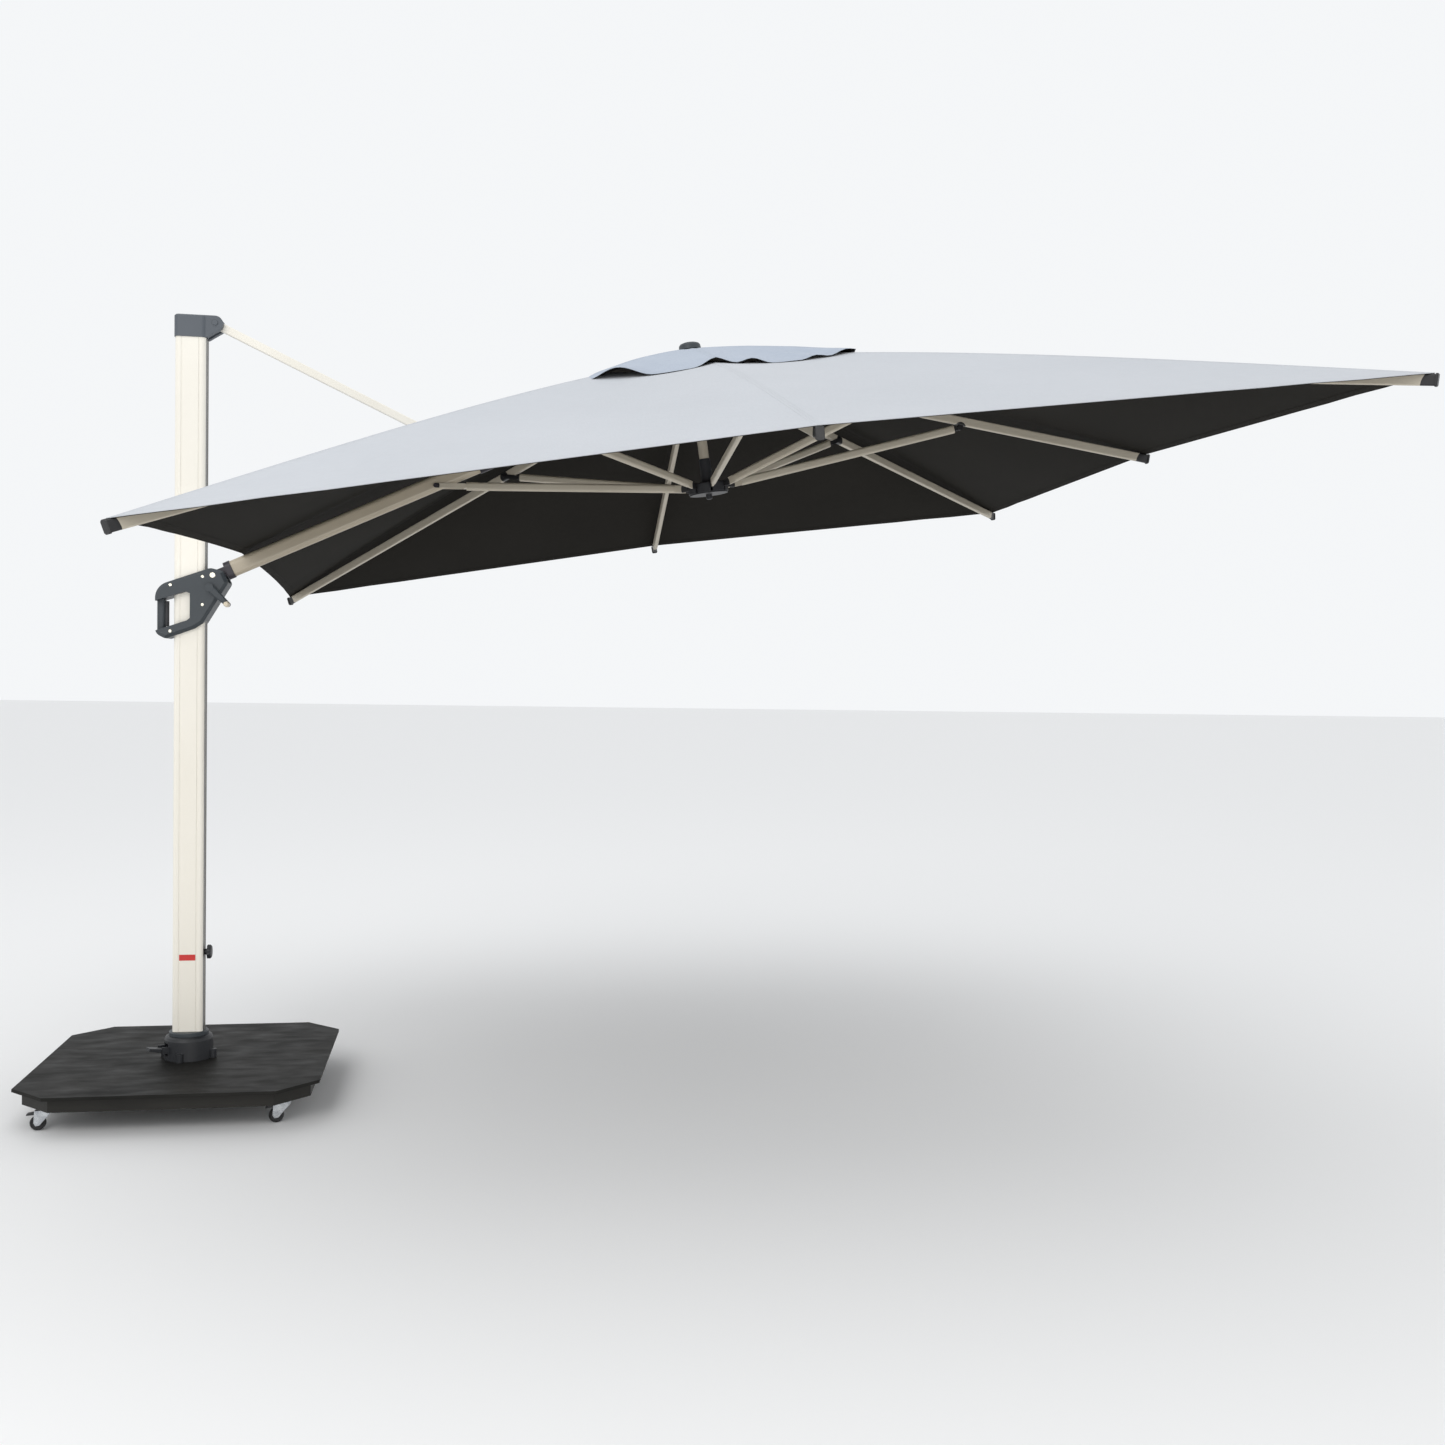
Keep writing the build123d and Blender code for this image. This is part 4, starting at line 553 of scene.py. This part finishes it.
def sector(name, k, point, inner, outer, rows, columns, hem, top, body, spread=(-0.5, 0.5), edge=None):
    """Part of a sheet over rib k, as a thin two-sided skin.

    point gives the surface; inner and outer are shares of the canopy's half side, and spread is in
    eighths to each side of the rib. edge is the share that the hem's stitching is measured from.
    """
    edge = outer if edge is None else edge
    shares = [inner + (outer - inner) * i / rows for i in range(rows)] + [outer]
    if hem:
        shares += [outer - hem / CANOPY_HALF, outer - hem / CANOPY_HALF + 0.0004, outer - 0.0008]
    shares = sorted(set(shares))
    places = [k + spread[0] + (spread[1] - spread[0]) * j / columns for j in range(columns + 1)]
    top_points, low_points, normals, uvs = [], [], [], []
    for share in shares:
        thick = CLOTH * (2.0 if outer - hem / CANOPY_HALF < share < outer else 1.0)
        for p in places:
            here = point(p, share)
            step = 0.004
            along = point(p, share + step) - point(p, share - step)
            before, after = point(p - step, share), point(p + step, share)
            normal = along.cross(after - before).normalized()
            inward = Vector((0, 0, -thick))
            top_points.append(to_world(*here))
            low_points.append(to_world(*(here + inward)))
            n = normal.x * EX + normal.y * EY + normal.z * EZ
            normals.append(n if n.dot(EZ) > 0 else -n)
            angle = radians(45 * k)
            across = -here.x * sin(angle) + here.y * cos(angle)
            uvs.append((across, (edge - share) * CANOPY_HALF))
    width = columns + 1
    count = len(top_points)
    faces, face_under = [], []
    for i in range(len(shares) - 1):
        for j in range(columns):
            a, b, c, d = i * width + j, i * width + j + 1, (i + 1) * width + j + 1, (i + 1) * width + j
            faces.append((a, d, c, b))
            face_under.append(0)
            faces.append((count + a, count + b, count + c, count + d))
            face_under.append(1)
        for a, b in ((i * width, (i + 1) * width), ((i + 2) * width - 1, (i + 1) * width - 1)):
            faces.append((a, count + a, count + b, b))
            face_under.append(0)
    last = (len(shares) - 1) * width
    for j in range(columns):
        faces.append((last + j, count + last + j, count + last + j + 1, last + j + 1))
        face_under.append(0)
        faces.append((j + 1, count + j + 1, count + j, j))
        face_under.append(0)
    mesh = bpy.data.meshes.new(name)
    mesh.from_pydata(top_points + low_points, [], faces)
    mesh.materials.append(top)
    # the underside's faces take the near-black cloth, which is painted shade
    mesh.materials.append(MATERIALS["under"])
    layer = mesh.uv_layers.new(name="cloth")
    for polygon, side in zip(mesh.polygons, face_under):
        polygon.material_index = side
        polygon.use_smooth = True
        for loop in polygon.loop_indices:
            v = mesh.loops[loop].vertex_index
            layer.data[loop].uv = uvs[v % count]
    vertex_normals = normals + [-n for n in normals]
    mesh.normals_split_custom_set_from_vertices(vertex_normals)
    obj = bpy.data.objects.new(name, mesh)
    bpy.context.collection.objects.link(obj)
    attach(obj, body)
    return obj


def fold_flat(obj):
    """Give the piece its own copy of its mesh."""
    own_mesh(obj)


def strut_slot():
    """Cutter for the slot that lets the top strut through, standing on the arm's joint."""
    arm = (joint_at("fold") - joint_at("slider_on_arm")).normalized()
    up = Vector((0, -1, 0)).cross(arm)
    centre = joint_at("arm_on_strut")
    rows = []
    for z in SLOT_CUT:
        ring = []
        for i in range(SLOT_SIDES):
            a = 2 * pi * i / SLOT_SIDES
            x = SLOT_ENDS[cos(a) > 0] + SLOT_HALF * cos(a)
            ring.append(centre + arm * x + Vector((0, SLOT_HALF * sin(a), 0)) + up * z)
        rows.append(ring)
    mesh = bpy.data.meshes.new("slot_cutter")
    n = SLOT_SIDES
    faces = [(i, (i + 1) % n, n + (i + 1) % n, n + i) for i in range(n)]
    faces += [tuple(reversed(range(n))), tuple(range(n, 2 * n))]
    mesh.from_pydata(rows[0] + rows[1], [], faces)
    obj = bpy.data.objects.new("slot_cutter", mesh)
    bpy.context.collection.objects.link(obj)
    return obj


def cut_by(obj, cutter):
    """Take the cutter's volume out of the piece, and remove the cutter."""
    modifier = obj.modifiers.new("slot", "BOOLEAN")
    modifier.object = cutter
    modifier.operation = "DIFFERENCE"
    modifier.solver = "FAST"
    bpy.context.view_layer.update()
    cut = bpy.data.meshes.new_from_object(obj.evaluated_get(bpy.context.evaluated_depsgraph_get()))
    obj.modifiers.clear()
    obj.data = cut
    bpy.data.objects.remove(cutter)


def declare_sheets(made, node):
    """Hide the CAD node that the pieces stand for, and give each piece that keeps some width its own mesh.
    """
    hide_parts(node)
    for obj, k, keep, aside in made:
        if keep:
            fold_flat(obj)


def make_canopy():
    """The canopy. Over the arm a strip with the strut's slot stays flat, between two pieces of cloth beside
    it.
    """
    inner = VENT_HALF / CANOPY_HALF
    made = []
    for k, name in enumerate(RIBS):
        # each part: end of its name, spread, columns, share of width kept, line it gathers to
        parts = [("", (-0.5, 0.5), 24, CANOPY_KEEP[k % 2], 0.0)]
        if name == "arm":
            parts = [("_rear", (-0.5, -STRIP), 12, CANOPY_KEEP[0], -ARM_GATHER),
                     ("", (-STRIP, STRIP), 6, 0, 0.0),
                     ("_front", (STRIP, 0.5), 12, CANOPY_KEEP[0], ARM_GATHER)]
        for ending, spread, columns, keep, aside in parts:
            obj = sector("canopy_" + name + ending, k, canopy_point, inner, 1.0, 26, columns, CANOPY_HEM,
                         MATERIALS["top"], body_of_rib(k), spread)
            if not keep:
                cut_by(obj, strut_slot())
            made.append((obj, k, keep, aside))
    declare_sheets(made, "canopy")


def make_flap():
    """The vent flap. Its crown stays on the hub, and the rest folds with the ribs."""
    hole, crown_edge, edge = (half / CANOPY_HALF for half in (FLAP_HOLE, CROWN_HALF, FLAP_HALF))
    made = []
    for k, name in enumerate(RIBS):
        crown = sector("crown_" + name, k, flap_point, hole, crown_edge, 6, 28, 0.0,
                       MATERIALS["flap"], "hub", edge=edge)
        obj = sector("flap_" + name, k, flap_point, crown_edge, edge, 18, 28, FLAP_HEM,
                     MATERIALS["flap"], body_of_rib(k))
        made += [(crown, k, 0, 0.0), (obj, k, FLAP_KEEP[k % 2], 0.0)]
    declare_sheets(made, "vent_flap")


# ------------------------------------------------------------------ small pieces
TAPE_BOX = (-0.024, 0.023, 0.415, 0.433)     # from and to in X, from and to in Z
TAPE_THICKNESS = 0.0006


def make_tape():
    """Plain strip of tape on the front of the mast's foot."""
    x0, x1, z0, z1 = TAPE_BOX
    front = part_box("mast_tube")[0][1] - 0.0004
    bm = bmesh.new()
    bmesh.ops.create_cube(bm, size=1.0)
    bmesh.ops.scale(bm, vec=(x1 - x0, TAPE_THICKNESS, z1 - z0), verts=bm.verts)
    bmesh.ops.translate(bm, vec=((x0 + x1) / 2, front, (z0 + z1) / 2), verts=bm.verts)
    bmesh.ops.bevel(bm, geom=bm.edges, offset=0.0002, segments=2, affect="EDGES")
    mesh = bpy.data.meshes.new("mast_tape")
    bm.to_mesh(mesh)
    bm.free()
    mesh.materials.append(finish("red_tape"))
    obj = bpy.data.objects.new("mast_tape", mesh)
    bpy.context.collection.objects.link(obj)
    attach(obj, "mast")


# ------------------------------------------------------------------ camera, floor and light
FOCAL = 1.0131487889        # in widths of the frame
SENSOR = 36.0
CAMERA_AT = (0.85, -4.6494, 1.290)
YAW, PITCH, ROLL = -0.1679, -0.0291, 0.0154
FLOOR_HALF = 60


def make_camera():
    data = bpy.data.cameras.new("camera")
    data.sensor_width = SENSOR
    data.lens = FOCAL * SENSOR
    data.dof.use_dof = False
    obj = bpy.data.objects.new("camera", data)
    turn = Matrix.Rotation(YAW, 4, "Z") @ Matrix.Rotation(pi / 2 + PITCH, 4, "X")
    obj.matrix_world = Matrix.Translation(CAMERA_AT) @ turn @ Matrix.Rotation(ROLL, 4, "Z")
    bpy.context.collection.objects.link(obj)
    bpy.context.scene.camera = obj


def make_floor():
    mesh = bpy.data.meshes.new("floor")
    corners = [(x * FLOOR_HALF, y * FLOOR_HALF, 0) for x, y in ((-1, -1), (1, -1), (1, 1), (-1, 1))]
    mesh.from_pydata(corners, [], [(0, 1, 2, 3)])
    material, nodes, _ = new_material("floor")
    shader = nodes["Principled BSDF"]
    shader.inputs["Base Color"].default_value = (0.86, 0.86, 0.86, 1)
    shader.inputs["Roughness"].default_value = 0.9
    shader.inputs["Specular IOR Level"].default_value = 0.1
    mesh.materials.append(material)
    obj = bpy.data.objects.new("floor", mesh)
    bpy.context.collection.objects.link(obj)


def area_light(name, at, towards, size, power, colour=(1, 1, 1)):
    """A soft rectangular light: its place, the point it faces, its two sides and its watts."""
    data = bpy.data.lights.new(name, "AREA")
    data.shape = "RECTANGLE"
    data.size, data.size_y = size
    data.energy = power
    data.color = colour
    obj = bpy.data.objects.new(name, data)
    obj.location = at
    obj.rotation_euler = (Vector(towards) - Vector(at)).to_track_quat("-Z", "Y").to_euler()
    bpy.context.collection.objects.link(obj)


def make_lights():
    bpy.context.scene.view_settings.view_transform = "Standard"
    world = bpy.data.worlds.new("studio")
    bpy.context.scene.world = world
    world.use_nodes = True
    background = world.node_tree.nodes["Background"]
    background.inputs["Color"].default_value = (0.97, 0.985, 1.0, 1)
    background.inputs["Strength"].default_value = 0.94
    area_light("key", (-2.5, -6.5, 5.5), (1.0, 0.0, 1.6), (4.0, 3.0), 105, (1.0, 0.98, 0.95))
    area_light("top", (1.0, -0.5, 7.0), (1.0, 0.0, 2.0), (7.0, 6.0), 55)
    area_light("fill", (1.6, -4.6, 0.35), (1.1, 0.2, 2.0), (3.6, 0.6), 26, (1.0, 0.975, 0.94))
    area_light("mast", (-0.9, -3.4, 1.9), (0.0, 0.0, 1.3), (0.5, 1.6), 7)


dress_nodes()
make_canopy()
make_flap()
make_tape()
make_camera()
make_floor()
make_lights()
